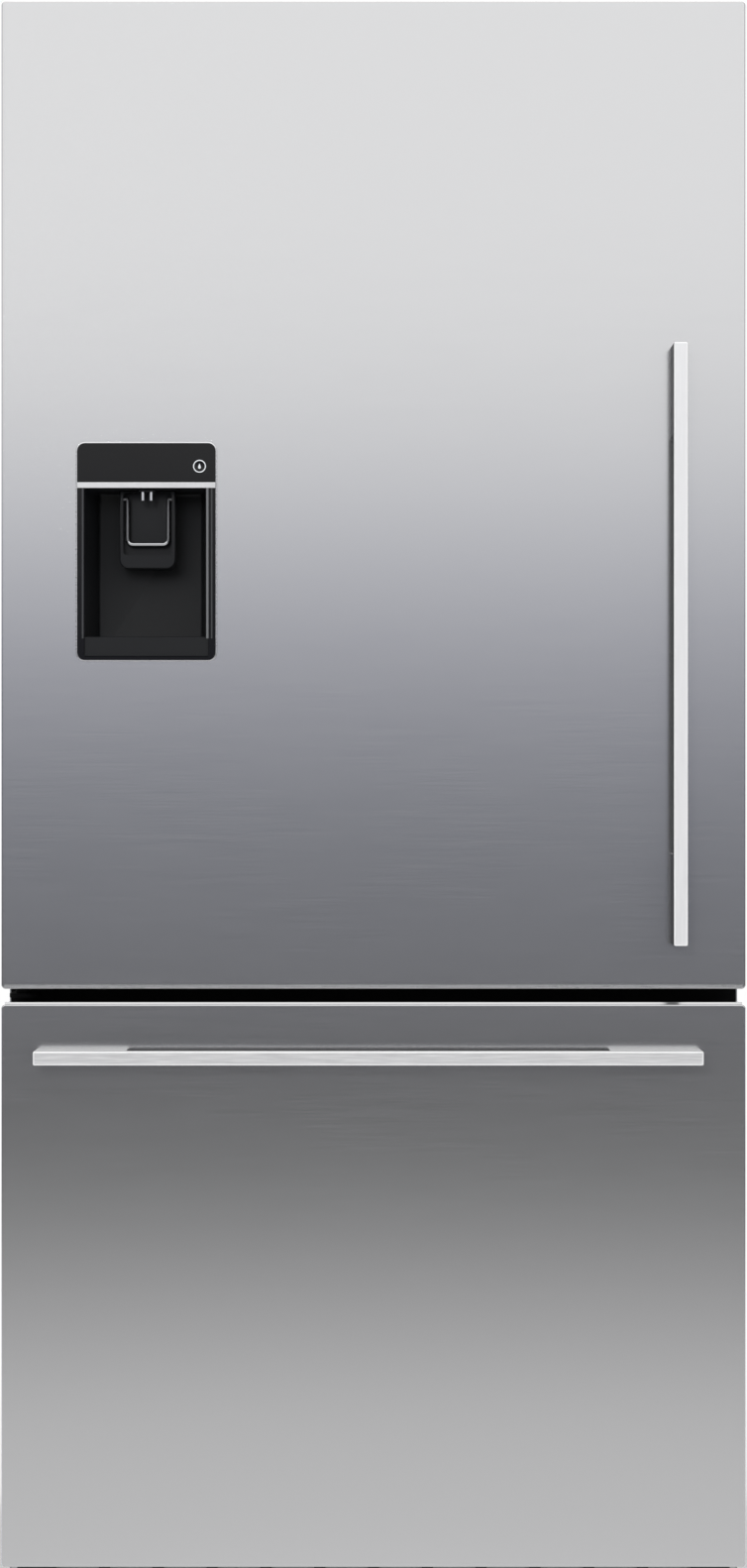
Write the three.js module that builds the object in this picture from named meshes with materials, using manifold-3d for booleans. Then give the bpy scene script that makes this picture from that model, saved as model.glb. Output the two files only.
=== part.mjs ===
// A free-standing refrigerator with one upper door, hinged on the left, and a freezer drawer below it.
// Millimetres, +Z up. The front faces -Y, and +X is to the right of someone facing it.
// The origin is on the floor, at the centre of the whole footprint with the handles.

import * as THREE from 'three';
import { mergeVertices } from 'three/addons/utils/BufferGeometryUtils.js';
import Module from 'manifold-3d';

const wasm = await Module();
wasm.setup();

// ---------- Driving sizes ----------

const frontWidth = 790; // door and drawer fronts
const doorHeight = 1048;
const drawerHeight = 597;
const frontGap = 16.5; // between the door and the drawer
const drawerLift = 44; // floor to the drawer's lower edge
const frontThickness = 65; // door and drawer
const frontEdgeRadius = 3;
const frontCornerRadius = 4;
const gasketGap = 12; // door to cabinet
const sideReveal = 2; // fronts past the cabinet on each side
const cabinetDepth = 620;
const cabinetLift = 24; // floor to the lower edge of the cabinet's sides
const doorRise = 8.5; // top of the door above the top of the cabinet
const hingeCoverRise = 18; // top of the hinge cover above the top of the cabinet
const handleReach = 45; // front of a handle to the front of its door

const fit = 0.3; // clearance between pieces that touch
const beyond = 1; // how far a cutting form passes the faces it cuts
const sheet = 1.2; // cabinet and door steel
const plate = 2; // base frame steel
const lap = plate / 2; // how far joined forms run into one another
const linerWall = 2.2;
const binWall = 2.4;

const sideInsulation = 45;
const backInsulation = 58;
const ceilingInsulation = 45.5;
const mullionHeight = 80; // between the two compartments
const freezerFloorRise = 64; // freezer floor above the drawer's lower edge
const compartmentRadius = 16;
const machineDepth = 181;
const machineCeilingZ = 275;
const machineFloorZ = 36;
const deckZ = 58; // underside of the plate below the insulation

// ---------- Levels and planes that follow ----------

const halfFront = frontWidth / 2;
const halfCabinet = halfFront - sideReveal;
const halfInside = halfCabinet - sheet - fit;
const overallDepth = handleReach + frontThickness + gasketGap + cabinetDepth;
const handleFrontY = -overallDepth / 2;
const frontY = handleFrontY + handleReach;
const doorBackY = frontY + frontThickness;
const cabinetFrontY = doorBackY + gasketGap;
const cabinetBackY = cabinetFrontY + cabinetDepth;
const machineWallY = cabinetBackY - machineDepth;

const drawerBottomZ = drawerLift;
const drawerTopZ = drawerBottomZ + drawerHeight;
const doorBottomZ = drawerTopZ + frontGap;
const doorTopZ = doorBottomZ + doorHeight;
const cabinetTopZ = doorTopZ - doorRise;
const mullionZ = (drawerTopZ + doorBottomZ) / 2;

// The hollows in the insulation, which the liners fill.
const foamFrontY = cabinetFrontY + linerWall + fit;
const foamBackY = cabinetBackY - sheet - fit;
const foamBottomZ = deckZ + plate + fit;
const foamTopZ = cabinetTopZ - sheet - fit;
const halfHollow = halfInside - sideInsulation;
const hollowBackY = foamBackY - backInsulation;
const fridgeHollow = [mullionZ + mullionHeight / 2, foamTopZ - ceilingInsulation];
const freezerHollow = [drawerBottomZ + freezerFloorRise, mullionZ - mullionHeight / 2];
const foamStepY = machineWallY - plate - fit;
const foamStepZ = machineCeilingZ + plate + fit;
const freezerStepY = foamStepY - sideInsulation;
const freezerStepZ = foamStepZ + sideInsulation;

// The clear space inside the liners.
const halfClear = halfHollow - fit - linerWall;
const clearBackY = hollowBackY - fit - linerWall;
const fridgeClear = [fridgeHollow[0] + fit + linerWall, fridgeHollow[1] - fit - linerWall];
const freezerClear = [freezerHollow[0] + fit + linerWall, freezerHollow[1] - fit - linerWall];
const freezerShelfZ = freezerStepZ + fit + linerWall;

// ---------- Finishes ----------

function finish(color, roughness, metalness) {
  return new THREE.MeshStandardMaterial({ color, roughness, metalness });
}

const stainless = () => finish(0xb9babd, 0.32, 0.9);
const handleMetal = () => finish(0xd6d7d9, 0.25, 0.9);
const paintedSteel = () => finish(0x8d9093, 0.5, 0.3);
const zincSteel = () => finish(0xa9acad, 0.45, 0.7);
const blackSteel = () => finish(0x16171a, 0.5, 0.3);
const glossBlack = () => finish(0x17181b, 0.12, 0);
const satinBlack = () => finish(0x1c1d20, 0.5, 0);
const whitePlastic = () => finish(0xeceef0, 0.4, 0);
const clearPlastic = () => finish(0xd9e3ea, 0.15, 0);
const shelfGlass = () => finish(0xcfe3dc, 0.05, 0);
const softGrey = () => finish(0x4a4c50, 0.8, 0);
const insulation = () => finish(0xe3d8b0, 0.9, 0);
const aluminium = () => finish(0xc7cacd, 0.4, 0.8);

// ---------- Shape helpers ----------

function box(x, y, z) {
  const geometry = new THREE.BoxGeometry(x[1] - x[0], y[1] - y[0], z[1] - z[0]);
  return geometry.translate((x[0] + x[1]) / 2, (y[0] + y[1]) / 2, (z[0] + z[1]) / 2);
}

function solid(form) {
  if (form instanceof wasm.Manifold) return form;
  const bare = form.clone();
  bare.deleteAttribute('normal');
  bare.deleteAttribute('uv');
  const merged = mergeVertices(bare, 1e-4);
  const vertProperties = new Float32Array(merged.attributes.position.array);
  const triVerts = new Uint32Array(merged.index.array);
  return new wasm.Manifold(new wasm.Mesh({ numProp: 3, vertProperties, triVerts }));
}

const join = (...forms) => forms.map(solid).reduce((whole, next) => whole.add(next));
const cut = (form, ...tools) => tools.map(solid).reduce((whole, tool) => whole.subtract(tool), solid(form));

function geometryOf(form) {
  if (form instanceof THREE.BufferGeometry) return form;
  const mesh = form.getMesh();
  const geometry = new THREE.BufferGeometry();
  geometry.setAttribute('position', new THREE.BufferAttribute(new Float32Array(mesh.vertProperties), 3));
  geometry.setIndex(new THREE.BufferAttribute(new Uint32Array(mesh.triVerts), 1));
  geometry.computeVertexNormals();
  return geometry;
}

function polygon(points) {
  return new THREE.Shape(points.map(([x, y]) => new THREE.Vector2(x, y)));
}

function roundedRectangle(x, y, radius) {
  const shape = new THREE.Shape();
  const quarter = Math.PI / 2;
  shape.absarc(x[1] - radius, y[0] + radius, radius, -quarter, 0);
  shape.absarc(x[1] - radius, y[1] - radius, radius, 0, quarter);
  shape.absarc(x[0] + radius, y[1] - radius, radius, quarter, 2 * quarter);
  shape.absarc(x[0] + radius, y[0] + radius, radius, 2 * quarter, 3 * quarter);
  shape.closePath();
  return shape;
}

function circleShape(x, y, radius) {
  const shape = new THREE.Shape();
  shape.absarc(x, y, radius, 0, 2 * Math.PI);
  return shape;
}

function extruded(shape, depth, curveSegments) {
  return new THREE.ExtrudeGeometry(shape, { depth, bevelEnabled: false, curveSegments });
}

// A shape drawn as seen from the front, x across and z up, made solid from yFront back to yBack.
function frontExtrude(shape, yFront, yBack, curveSegments = 2) {
  return extruded(shape, yBack - yFront, curveSegments).rotateX(Math.PI / 2).translate(0, yBack, 0);
}

// A shape drawn as seen from the side, y across and z up, made solid along x.
function sideExtrude(shape, xLeft, xRight, curveSegments = 2) {
  const turn = new THREE.Matrix4().makeBasis(
    new THREE.Vector3(0, 1, 0),
    new THREE.Vector3(0, 0, 1),
    new THREE.Vector3(1, 0, 0),
  );
  return extruded(shape, xRight - xLeft, curveSegments).applyMatrix4(turn).translate(xLeft, 0, 0);
}

// A shape drawn as seen from above, made solid upwards.
function planExtrude(shape, zLow, zHigh, curveSegments = 2) {
  return extruded(shape, zHigh - zLow, curveSegments).translate(0, 0, zLow);
}

function rodX(radius, x, y, z, sides = 12) {
  const geometry = new THREE.CylinderGeometry(radius, radius, x[1] - x[0], sides);
  return geometry.rotateZ(-Math.PI / 2).translate((x[0] + x[1]) / 2, y, z);
}

function rodY(radius, x, y, z, sides = 12) {
  const geometry = new THREE.CylinderGeometry(radius, radius, y[1] - y[0], sides);
  return geometry.translate(x, (y[0] + y[1]) / 2, z);
}

function rodZ(radius, x, y, z, sides = 12) {
  const geometry = new THREE.CylinderGeometry(radius, radius, z[1] - z[0], sides);
  return geometry.rotateX(Math.PI / 2).translate(x, y, (z[0] + z[1]) / 2);
}

// A revolved profile of [radius, height] pairs, from bottom to top about +Z.
function turned(profile, sides = 24) {
  const points = profile.map(([radius, height]) => new THREE.Vector2(radius, height));
  return new THREE.LatheGeometry(points, sides).rotateX(Math.PI / 2);
}

// Points round a rectangle with rounded corners, anticlockwise from above, at height z.
function ring(x, y, radius, z, steps = 3) {
  const corners = [[x[1], y[0], -1], [x[1], y[1], 0], [x[0], y[1], 1], [x[0], y[0], 2]];
  const points = [];
  for (const [cornerX, cornerY, quarter] of corners) {
    const centreX = cornerX === x[1] ? cornerX - radius : cornerX + radius;
    const centreY = cornerY === y[1] ? cornerY - radius : cornerY + radius;
    for (let step = 0; step <= steps; step += 1) {
      const angle = (quarter + step / steps) * Math.PI / 2;
      const along = radius * Math.cos(angle);
      const up = radius * Math.sin(angle);
      points.push(new THREE.Vector3(centreX + along, centreY + up, z));
    }
  }
  return points;
}

// A closed skin through a row of rings, with a flat cap on the first and the last.
// Rings that rise outside and then come down inside make an open tub in one piece.
function loft(rings) {
  const count = rings[0].length;
  const positions = rings.flat().flatMap((point) => [point.x, point.y, point.z]);
  const index = [];
  for (let level = 0; level < rings.length - 1; level += 1) {
    for (let side = 0; side < count; side += 1) {
      const next = (side + 1) % count;
      const low = level * count;
      const high = low + count;
      index.push(low + side, low + next, high + next);
      index.push(low + side, high + next, high + side);
    }
  }
  const last = (rings.length - 1) * count;
  for (let side = 1; side < count - 1; side += 1) {
    index.push(0, side + 1, side);
    index.push(last, last + side, last + side + 1);
  }
  const geometry = new THREE.BufferGeometry();
  geometry.setAttribute('position', new THREE.Float32BufferAttribute(positions, 3));
  geometry.setIndex(index);
  geometry.computeVertexNormals();
  return geometry;
}

const grow = (span, by) => [span[0] - by, span[1] + by];
const centred = (centre, width) => [centre - width / 2, centre + width / 2];
const onSide = (side, near, far) => (side > 0 ? [near, far] : [-far, -near]);

// A tub with drawn-in sides, open at the top: draft is how much narrower each side is at the bottom.
function tub(x, y, z, { wall = binWall, draft = 4, radius = 12 } = {}) {
  const inner = radius - wall / 2;
  return loft([
    ring(grow(x, -draft), grow(y, -draft), radius, z[0]),
    ring(x, y, radius, z[1]),
    ring(grow(x, -wall), grow(y, -wall), inner, z[1]),
    ring(grow(x, -draft - wall), grow(y, -draft - wall), inner, z[0] + wall),
  ]);
}

// A path that passes straight through each of its points, for tubes with bends.
class BentPath extends THREE.Curve {
  constructor(points) {
    super();
    this.stations = points;
  }

  getPoint(t, target = new THREE.Vector3()) {
    const last = this.stations.length - 1;
    const low = Math.min(Math.floor(t * last + 1e-9), last - 1);
    return target.lerpVectors(this.stations[low], this.stations[low + 1], t * last - low);
  }

  getPointAt(u, target) {
    return this.getPoint(u, target);
  }

  getTangentAt(u, target = new THREE.Vector3()) {
    const last = this.stations.length - 1;
    const at = Math.round(u * last);
    const here = this.stations[at];
    const arriving = here.clone().sub(this.stations[Math.max(at - 1, 0)]).normalize();
    const leaving = this.stations[Math.min(at + 1, last)].clone().sub(here).normalize();
    return target.copy(arriving).add(leaving).normalize();
  }
}

function bentTube(points, radius, sides = 6) {
  const section = new THREE.Shape();
  for (let side = 0; side < sides; side += 1) {
    const angle = side / sides * 2 * Math.PI;
    const corner = [radius * Math.cos(angle), radius * Math.sin(angle)];
    if (side === 0) section.moveTo(...corner);
    else section.lineTo(...corner);
  }
  return new THREE.ExtrudeGeometry(section, { steps: points.length - 1, extrudePath: new BentPath(points) });
}

// Points on an arc in the plane of two unit vectors, both ends left out.
function arcPoints(centre, radius, first, second, from, to, steps) {
  const points = [];
  for (let step = 1; step < steps; step += 1) {
    const angle = from + (to - from) * step / steps;
    const point = centre.clone();
    point.addScaledVector(first, radius * Math.cos(angle));
    point.addScaledVector(second, radius * Math.sin(angle));
    points.push(point);
  }
  return points;
}

// ---------- Scene groups ----------

const refrigerator = new THREE.Group();
const cabinet = new THREE.Group();
const door = new THREE.Group();
const drawer = new THREE.Group();
const dispenser = new THREE.Group();
refrigerator.add(cabinet, door, drawer);
door.add(dispenser);

function add(group, name, form, material, place = [0, 0, 0]) {
  const mesh = new THREE.Mesh(geometryOf(form), material);
  mesh.name = name;
  mesh.position.set(...place);
  group.add(mesh);
  return mesh;
}

// ---------- Cabinet shell ----------

const wrapperFlange = 19.7; // folded in at the front of the cabinet
const wrapperCornerRadius = 1.5;
const railHeight = 32; // dark cross rail between the compartments
const frontRailTopZ = 88;
const halfFlange = halfCabinet - wrapperFlange;
const rail = centred(mullionZ, railHeight);

function cabinetWrapper() {
  const underneath = -100;
  const outer = roundedRectangle([-halfCabinet, halfCabinet], [underneath, cabinetTopZ], wrapperCornerRadius);
  const inner = grow([-halfCabinet, halfCabinet], -sheet);
  const y = [cabinetFrontY, cabinetBackY];
  const shell = cut(
    frontExtrude(outer, ...y, 1),
    box(inner, grow(y, beyond), [underneath - beyond, cabinetTopZ - sheet]),
    box(grow(inner, 2 * sheet), grow(y, beyond), [underneath - beyond, cabinetLift]),
  );
  const flangeY = [cabinetFrontY, cabinetFrontY + sheet];
  const flangeZ = [frontRailTopZ + fit, cabinetTopZ - sheet / 2];
  const sides = [-1, 1].map((side) => {
    return box(onSide(side, halfFlange, halfCabinet - sheet / 2), flangeY, flangeZ);
  });
  const top = box(grow(inner, sheet / 2), flangeY, [cabinetTopZ - wrapperFlange, cabinetTopZ - sheet / 2]);
  const railNotch = box(grow([-halfInside, halfInside], fit), grow(flangeY, beyond), grow(rail, fit));
  return cut(join(shell, ...sides, top), railNotch);
}

add(cabinet, 'cabinet_wrapper', cabinetWrapper(), paintedSteel());

const rearPanelBottomZ = foamStepZ;
const beadWidth = 14;
const beadPitch = 170;
const beadDepth = 0.8;
const beadEndGap = 60;

// A flat back sheet, stiffened by shallow upright beads pressed outwards.
function rearPanel() {
  const y = [cabinetBackY - sheet - beadDepth, cabinetBackY - beadDepth];
  const panel = box([-halfInside, halfInside], y, [rearPanelBottomZ, foamTopZ]);
  const beadZ = grow([rearPanelBottomZ, foamTopZ], -beadEndGap);
  const beads = [-1.5, -0.5, 0.5, 1.5].map((place) => {
    const shape = roundedRectangle(centred(place * beadPitch, beadWidth), beadZ, 0.49 * beadWidth);
    return frontExtrude(shape, y[0] + sheet / 2, cabinetBackY, 1);
  });
  return join(panel, ...beads);
}

const rearPanelFrontY = cabinetBackY - sheet - beadDepth;

add(cabinet, 'rear_panel', rearPanel(), paintedSteel());

// Everything inside the steel that the liners and the machine space leave is rigid foam.
function foamOutline(step) {
  const back = rearPanelFrontY - fit;
  return polygon([
    [foamFrontY, foamBottomZ],
    [step[0], foamBottomZ],
    [step[0], step[1]],
    [back, step[1]],
    [back, foamTopZ],
    [foamFrontY, foamTopZ],
  ]);
}

function fridgeHollowForm(inset, yFront, yBack) {
  const x = grow([-halfHollow, halfHollow], -inset);
  const shape = roundedRectangle(x, grow(fridgeHollow, -inset), compartmentRadius - inset);
  return frontExtrude(shape, yFront, yBack - inset, 2);
}

// The freezer hollow steps up at the back, over the machine space.
function freezerHollowForm(inset, yFront) {
  const x = grow([-halfHollow, halfHollow], -inset);
  const shape = roundedRectangle(x, grow(freezerHollow, -inset), compartmentRadius - inset);
  const whole = frontExtrude(shape, yFront, hollowBackY - inset, 2);
  const step = box(
    grow(x, beyond),
    [freezerStepY - inset, hollowBackY + beyond],
    [freezerHollow[0] - beyond, freezerStepZ + inset],
  );
  return cut(whole, step);
}

function cabinetFoam() {
  const outer = sideExtrude(foamOutline([foamStepY, foamStepZ]), -halfInside, halfInside);
  const opening = foamFrontY - beyond;
  return cut(outer, fridgeHollowForm(0, opening, hollowBackY), freezerHollowForm(0, opening));
}

add(cabinet, 'cabinet_foam', cabinetFoam(), insulation());

// ---------- Liners ----------

const ledgeReach = 10;
const ledgeThickness = 6;
const ledgeOverhang = 6; // ledges past the shelves at the front and the back
const crisperCoverRise = 213; // crisper cover above the fridge floor
const middleShelfRise = 443;
const upperShelfRise = 693;
const ledgeRises = [crisperCoverRise, 328, middleShelfRise, 568, upperShelfRise, 818];
const shelfFrontY = cabinetFrontY + 119;
const ductDepth = 18;
const shelfBackY = clearBackY - fit - ductDepth - plate;

function linerFlange(z) {
  const y = [cabinetFrontY, cabinetFrontY + linerWall];
  return box([-halfFlange + fit, halfFlange - fit], y, z);
}

function fridgeLiner() {
  const outer = fridgeHollowForm(fit, cabinetFrontY + linerWall / 2, hollowBackY);
  const inner = fridgeHollowForm(fit + linerWall, cabinetFrontY - beyond, hollowBackY);
  const flange = linerFlange([rail[1] + fit, cabinetTopZ - wrapperFlange - fit]);
  const tubForm = cut(join(outer, flange), inner);
  const ledges = ledgeRises.flatMap((rise) => [-1, 1].map((side) => {
    const top = fridgeClear[0] + rise;
    const x = onSide(side, halfClear - ledgeReach, halfClear + linerWall / 2);
    return box(x, grow([shelfFrontY, shelfBackY], ledgeOverhang), [top - ledgeThickness, top]);
  }));
  return join(tubForm, ...ledges);
}

add(cabinet, 'fridge_liner', fridgeLiner(), whitePlastic());

function freezerLiner() {
  const outer = freezerHollowForm(fit, cabinetFrontY + linerWall / 2);
  const inner = freezerHollowForm(fit + linerWall, cabinetFrontY - beyond);
  const flange = linerFlange([frontRailTopZ + fit, rail[0] - fit]);
  return cut(join(outer, flange), inner);
}

add(cabinet, 'freezer_liner', freezerLiner(), whitePlastic());

// ---------- Base frame, feet, rollers and grille ----------

const rollerRadius = 16;
const rollerWidth = 16;
const rollerBackInset = 51; // roller axle to the cabinet's back
const rollerX = halfCabinet - 43;
const rollerY = cabinetBackY - rollerBackInset;
const axleRadius = 3;
const bracketThickness = 3;
const rollerSideGap = 0.5;
const forkLength = 40;
const forkTipLength = 14;
const forkDrop = 6; // axle to the fork's lower edge
const footX = halfCabinet - 33;
const footY = cabinetFrontY + 44;
const footPlateZ = 34;
const footPlateThickness = 3;
const footPlateLength = 60;
const footPlateReach = 30; // stud's axis to the plate's inner edge
const footPadRadius = 18;
const footHexRadius = 9;
const studRadius = 5;
const studTopGap = 5; // below the deck

function rollerFork(side) {
  const near = rollerX - rollerWidth / 2 - rollerSideGap;
  const far = rollerX + rollerWidth / 2 + rollerSideGap;
  const y = centred(rollerY, forkLength);
  const tip = centred(rollerY, forkTipLength);
  const outline = polygon([
    [y[0], machineFloorZ + lap],
    [tip[0], rollerRadius - forkDrop],
    [tip[1], rollerRadius - forkDrop],
    [y[1], machineFloorZ + lap],
  ]);
  const inner = sideExtrude(outline, ...onSide(side, near - bracketThickness, near));
  const outer = sideExtrude(outline, ...onSide(side, far, far + bracketThickness));
  const axleX = onSide(side, near - bracketThickness - lap, far + bracketThickness + lap);
  const axle = rodX(axleRadius, axleX, rollerY, rollerRadius);
  return [inner, outer, axle];
}

function footBracket(side) {
  const y = centred(footY, footPlateLength);
  const inner = footX - footPlateReach;
  const shelfZ = [footPlateZ, footPlateZ + footPlateThickness];
  const shelf = box(onSide(side, inner, halfInside - lap), y, shelfZ);
  const webX = onSide(side, inner + lap, inner + lap + plate);
  const web = box(webX, grow(y, -lap), [footPlateZ + lap, deckZ + lap]);
  return [shelf, web];
}

// Folded sheets whose edges end inside one another.
function baseFrame() {
  const x = [-halfInside, halfInside];
  const sheetX = grow(x, -lap);
  const wallY = [machineWallY - plate, machineWallY];
  const backY = rearPanelFrontY - fit;
  const sheets = [
    box(sheetX, [cabinetFrontY + lap, wallY[1] - lap], [deckZ, deckZ + plate]),
    box(sheetX, wallY, [machineFloorZ + lap, machineCeilingZ + lap]),
    box(sheetX, [wallY[0] + lap, backY - lap], [machineCeilingZ, machineCeilingZ + plate]),
    box(sheetX, [wallY[0] + lap, backY - lap], [machineFloorZ, machineFloorZ + plate]),
    box(x, [cabinetFrontY, cabinetFrontY + plate], [cabinetLift, frontRailTopZ]),
  ];
  const cheekOutline = polygon([
    [cabinetFrontY + lap, cabinetLift + lap],
    [backY, cabinetLift + lap],
    [backY, machineCeilingZ + lap],
    [wallY[0] + lap, machineCeilingZ + lap],
    [wallY[0] + lap, deckZ + lap],
    [cabinetFrontY + lap, deckZ + lap],
  ]);
  const cheeks = [-1, 1].map((side) => {
    return sideExtrude(cheekOutline, ...onSide(side, halfInside - plate, halfInside - lap / 2));
  });
  const supports = [-1, 1].flatMap((side) => [...rollerFork(side), ...footBracket(side)]);
  const studHoles = [-1, 1].map((side) => {
    return rodZ(studRadius + fit, side * footX, footY, [footPlateZ - beyond, deckZ - plate]);
  });
  return cut(join(...sheets, ...cheeks, ...supports), ...studHoles);
}

add(cabinet, 'base_frame', baseFrame(), zincSteel());

// A levelling foot: pad, hexagon for a spanner and a stud through the frame's bracket.
function levellingFoot() {
  const edge = 1;
  const rimZ = 5;
  const crownZ = 8;
  const hexagonTopZ = 17;
  const pad = turned([
    [0, 0],
    [footPadRadius - edge, 0],
    [footPadRadius, edge],
    [footPadRadius, rimZ],
    [footHexRadius, crownZ],
    [0, crownZ],
  ], 16);
  const hexagon = rodZ(footHexRadius, 0, 0, [crownZ - lap, hexagonTopZ], 6);
  const stud = rodZ(studRadius, 0, 0, [hexagonTopZ - lap, deckZ - studTopGap]);
  return join(pad, hexagon, stud);
}

for (const [name, side] of [['foot_front_left', -1], ['foot_front_right', 1]]) {
  add(cabinet, name, levellingFoot(), satinBlack(), [side * footX, footY, 0]);
}

// A roller: a tyre with a chamfered tread and a bore that runs on the fork's axle.
function roller() {
  const half = rollerWidth / 2;
  const bore = axleRadius + fit;
  const chamfer = 1.5;
  const profile = [
    [bore, -half],
    [rollerRadius - chamfer, -half],
    [rollerRadius, -half + chamfer],
    [rollerRadius, half - chamfer],
    [rollerRadius - chamfer, half],
    [bore, half],
    [bore, -half],
  ];
  return turned(profile, 20).rotateY(Math.PI / 2);
}

for (const [name, side] of [['roller_rear_left', -1], ['roller_rear_right', 1]]) {
  add(cabinet, name, roller(), satinBlack(), [side * rollerX, rollerY, rollerRadius]);
}

const grilleZ = [8, drawerBottomZ - 2.5];
const grilleThickness = 3;
const grilleDepth = 12.7;
const grilleEndGap = 11; // ends of the grille to the edges of the drawer's front
const grilleSlot = { count: 12, width: 46, pitch: 58, height: 5 };
const grilleSlotRises = [11, 21];

// A row of slots, centred on x = 0.
function slotShapes({ count, width, pitch, height }, z) {
  return Array.from({ length: count }, (_, number) => {
    const x = centred((number - (count - 1) / 2) * pitch, width);
    const [low, high] = centred(z, height);
    return polygon([[x[0], low], [x[1], low], [x[1], high], [x[0], high]]);
  });
}

// A wall between yFront and yBack with holes of the given shapes cut through it.
function pierced(form, shapes, yFront, yBack, curveSegments = 1) {
  const [low, high] = grow([yFront, yBack], beyond);
  return cut(form, ...shapes.map((shape) => frontExtrude(shape, low, high, curveSegments)));
}

function baseGrille() {
  const x = grow([-halfFront, halfFront], -grilleEndGap);
  const backY = cabinetFrontY - fit;
  const faceY = backY - grilleDepth;
  const slots = grilleSlotRises.flatMap((rise) => slotShapes(grilleSlot, grilleZ[0] + rise));
  const face = [faceY, faceY + grilleThickness];
  const front = pierced(box(x, face, grilleZ), slots, ...face);
  const skin = 0.5; // lip and ends set in from the face's edges
  const lipZ = [grilleZ[1] - skin - plate, grilleZ[1] - skin];
  const lip = box(grow(x, -3 * skin), [faceY + lap, backY], lipZ);
  const ends = [-1, 1].map((side) => {
    const endX = onSide(side, x[1] - skin - plate, x[1] - skin);
    return box(endX, [faceY + lap, backY - plate], grow(grilleZ, -lap));
  });
  return join(front, lip, ...ends);
}

add(cabinet, 'base_grille', baseGrille(), satinBlack());

// ---------- Cross rail and hinges ----------

const hingeInset = 20; // hinge axis from the door's left edge
const hingeSetback = 30; // hinge axis from the door's inner face
const hingeX = -halfFront + hingeInset;
const hingeY = doorBackY - hingeSetback;
const pinRadius = 5;
const pinReach = 14.5; // into the door
const pinEndGap = 3; // bore past the pin's end
const washerLand = 3; // washer's edge past the pin
const hingeTipRadius = 14.5;
const hingePlate = 3;
const middleLeafZ = [mullionZ - 2.5, mullionZ + 2];
const middleFlangeReach = 30;

add(
  cabinet,
  'mullion_rail',
  box([-halfInside, halfInside], [cabinetFrontY, cabinetFrontY + plate], rail),
  blackSteel(),
);

// A hinge leaf seen from above: square at the cabinet, round about the pin.
function hingeLeaf(yBack, zLow, zHigh) {
  const shape = new THREE.Shape();
  shape.moveTo(hingeX + hingeTipRadius, yBack);
  shape.lineTo(hingeX - hingeTipRadius, yBack);
  shape.lineTo(hingeX - hingeTipRadius, hingeY);
  shape.absarc(hingeX, hingeY, hingeTipRadius, Math.PI, 2 * Math.PI);
  shape.closePath();
  return planExtrude(shape, zLow, zHigh, 4);
}

function middleHinge() {
  const flangeY = [cabinetFrontY - fit - hingePlate, cabinetFrontY - fit];
  const flangeX = [hingeX - hingeTipRadius, hingeX + middleFlangeReach];
  const flange = box(flangeX, flangeY, grow(rail, -plate));
  const leaf = hingeLeaf(flangeY[1] - lap, ...middleLeafZ);
  const rootZ = middleLeafZ[1] - lap;
  const washer = rodZ(pinRadius + washerLand, hingeX, hingeY, [rootZ, doorBottomZ - fit]);
  const pin = rodZ(pinRadius, hingeX, hingeY, [rootZ, doorBottomZ + pinReach]);
  return join(flange, leaf, washer, pin);
}

add(cabinet, 'hinge_middle', middleHinge(), blackSteel());

const topHingeX = [hingeX - hingeTipRadius, hingeX + 73];
const topHingeY = [cabinetFrontY - 1, cabinetFrontY + 79];
const topLeafGap = 0.5; // above the door
const topLeafZ = [doorTopZ + topLeafGap, doorTopZ + topLeafGap + hingePlate];
const topScrewRadius = 3;
const topScrewInset = 12; // from the foot's right edge
const topScrewPlaces = [20, 60]; // behind the foot's front edge

// The top hinge rises from its foot on the cabinet and reaches forward over the higher door.
function topHinge() {
  const footZ = [cabinetTopZ + fit, cabinetTopZ + fit + hingePlate];
  const foot = box(topHingeX, topHingeY, footZ);
  const riser = box(
    [topHingeX[0], hingeX + hingeTipRadius],
    [topHingeY[0], topHingeY[0] + hingePlate],
    [footZ[0], topLeafZ[1]],
  );
  const leaf = hingeLeaf(topHingeY[0] + lap, ...topLeafZ);
  const pin = rodZ(pinRadius, hingeX, hingeY, [doorTopZ - pinReach, topLeafZ[0] + lap]);
  const screwHoles = topScrewPlaces.map((place) => {
    const x = topHingeX[1] - topScrewInset;
    return rodZ(topScrewRadius, x, topHingeY[0] + place, grow(footZ, beyond));
  });
  return cut(join(foot, riser, leaf, pin), ...screwHoles);
}

add(cabinet, 'hinge_top', topHinge(), zincSteel());

const coverWall = 1.6;
const coverX = [-halfFront + 2.5, topHingeX[1] + 4];
const coverY = [hingeY - pinRadius - 1, topHingeY[1] + 8];
const coverTopZ = cabinetTopZ + hingeCoverRise;
const coverNoseRise = 5; // front edge of the cover above the door
const coverStepGap = 1.4; // cover's front step to the hinge's foot

// The cover seen from the side: low over the door, where it leaves the leaf's tip bare, and rising backwards.
function hingeCoverOutline(inset, bottomDrop) {
  const backSlope = 6;
  const noseLength = 26;
  const front = coverY[0] + inset;
  const back = coverY[1] - inset;
  const top = coverTopZ - inset;
  const overDoorZ = doorTopZ + lap - bottomDrop;
  const onCabinetZ = cabinetTopZ + fit - bottomDrop;
  const stepY = topHingeY[0] - coverStepGap;
  return polygon([
    [front, overDoorZ],
    [stepY, overDoorZ],
    [stepY, onCabinetZ],
    [back, onCabinetZ],
    [back, top - backSlope],
    [back - backSlope, top],
    [front + noseLength, top],
    [front, doorTopZ + coverNoseRise - inset],
  ]);
}

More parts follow.
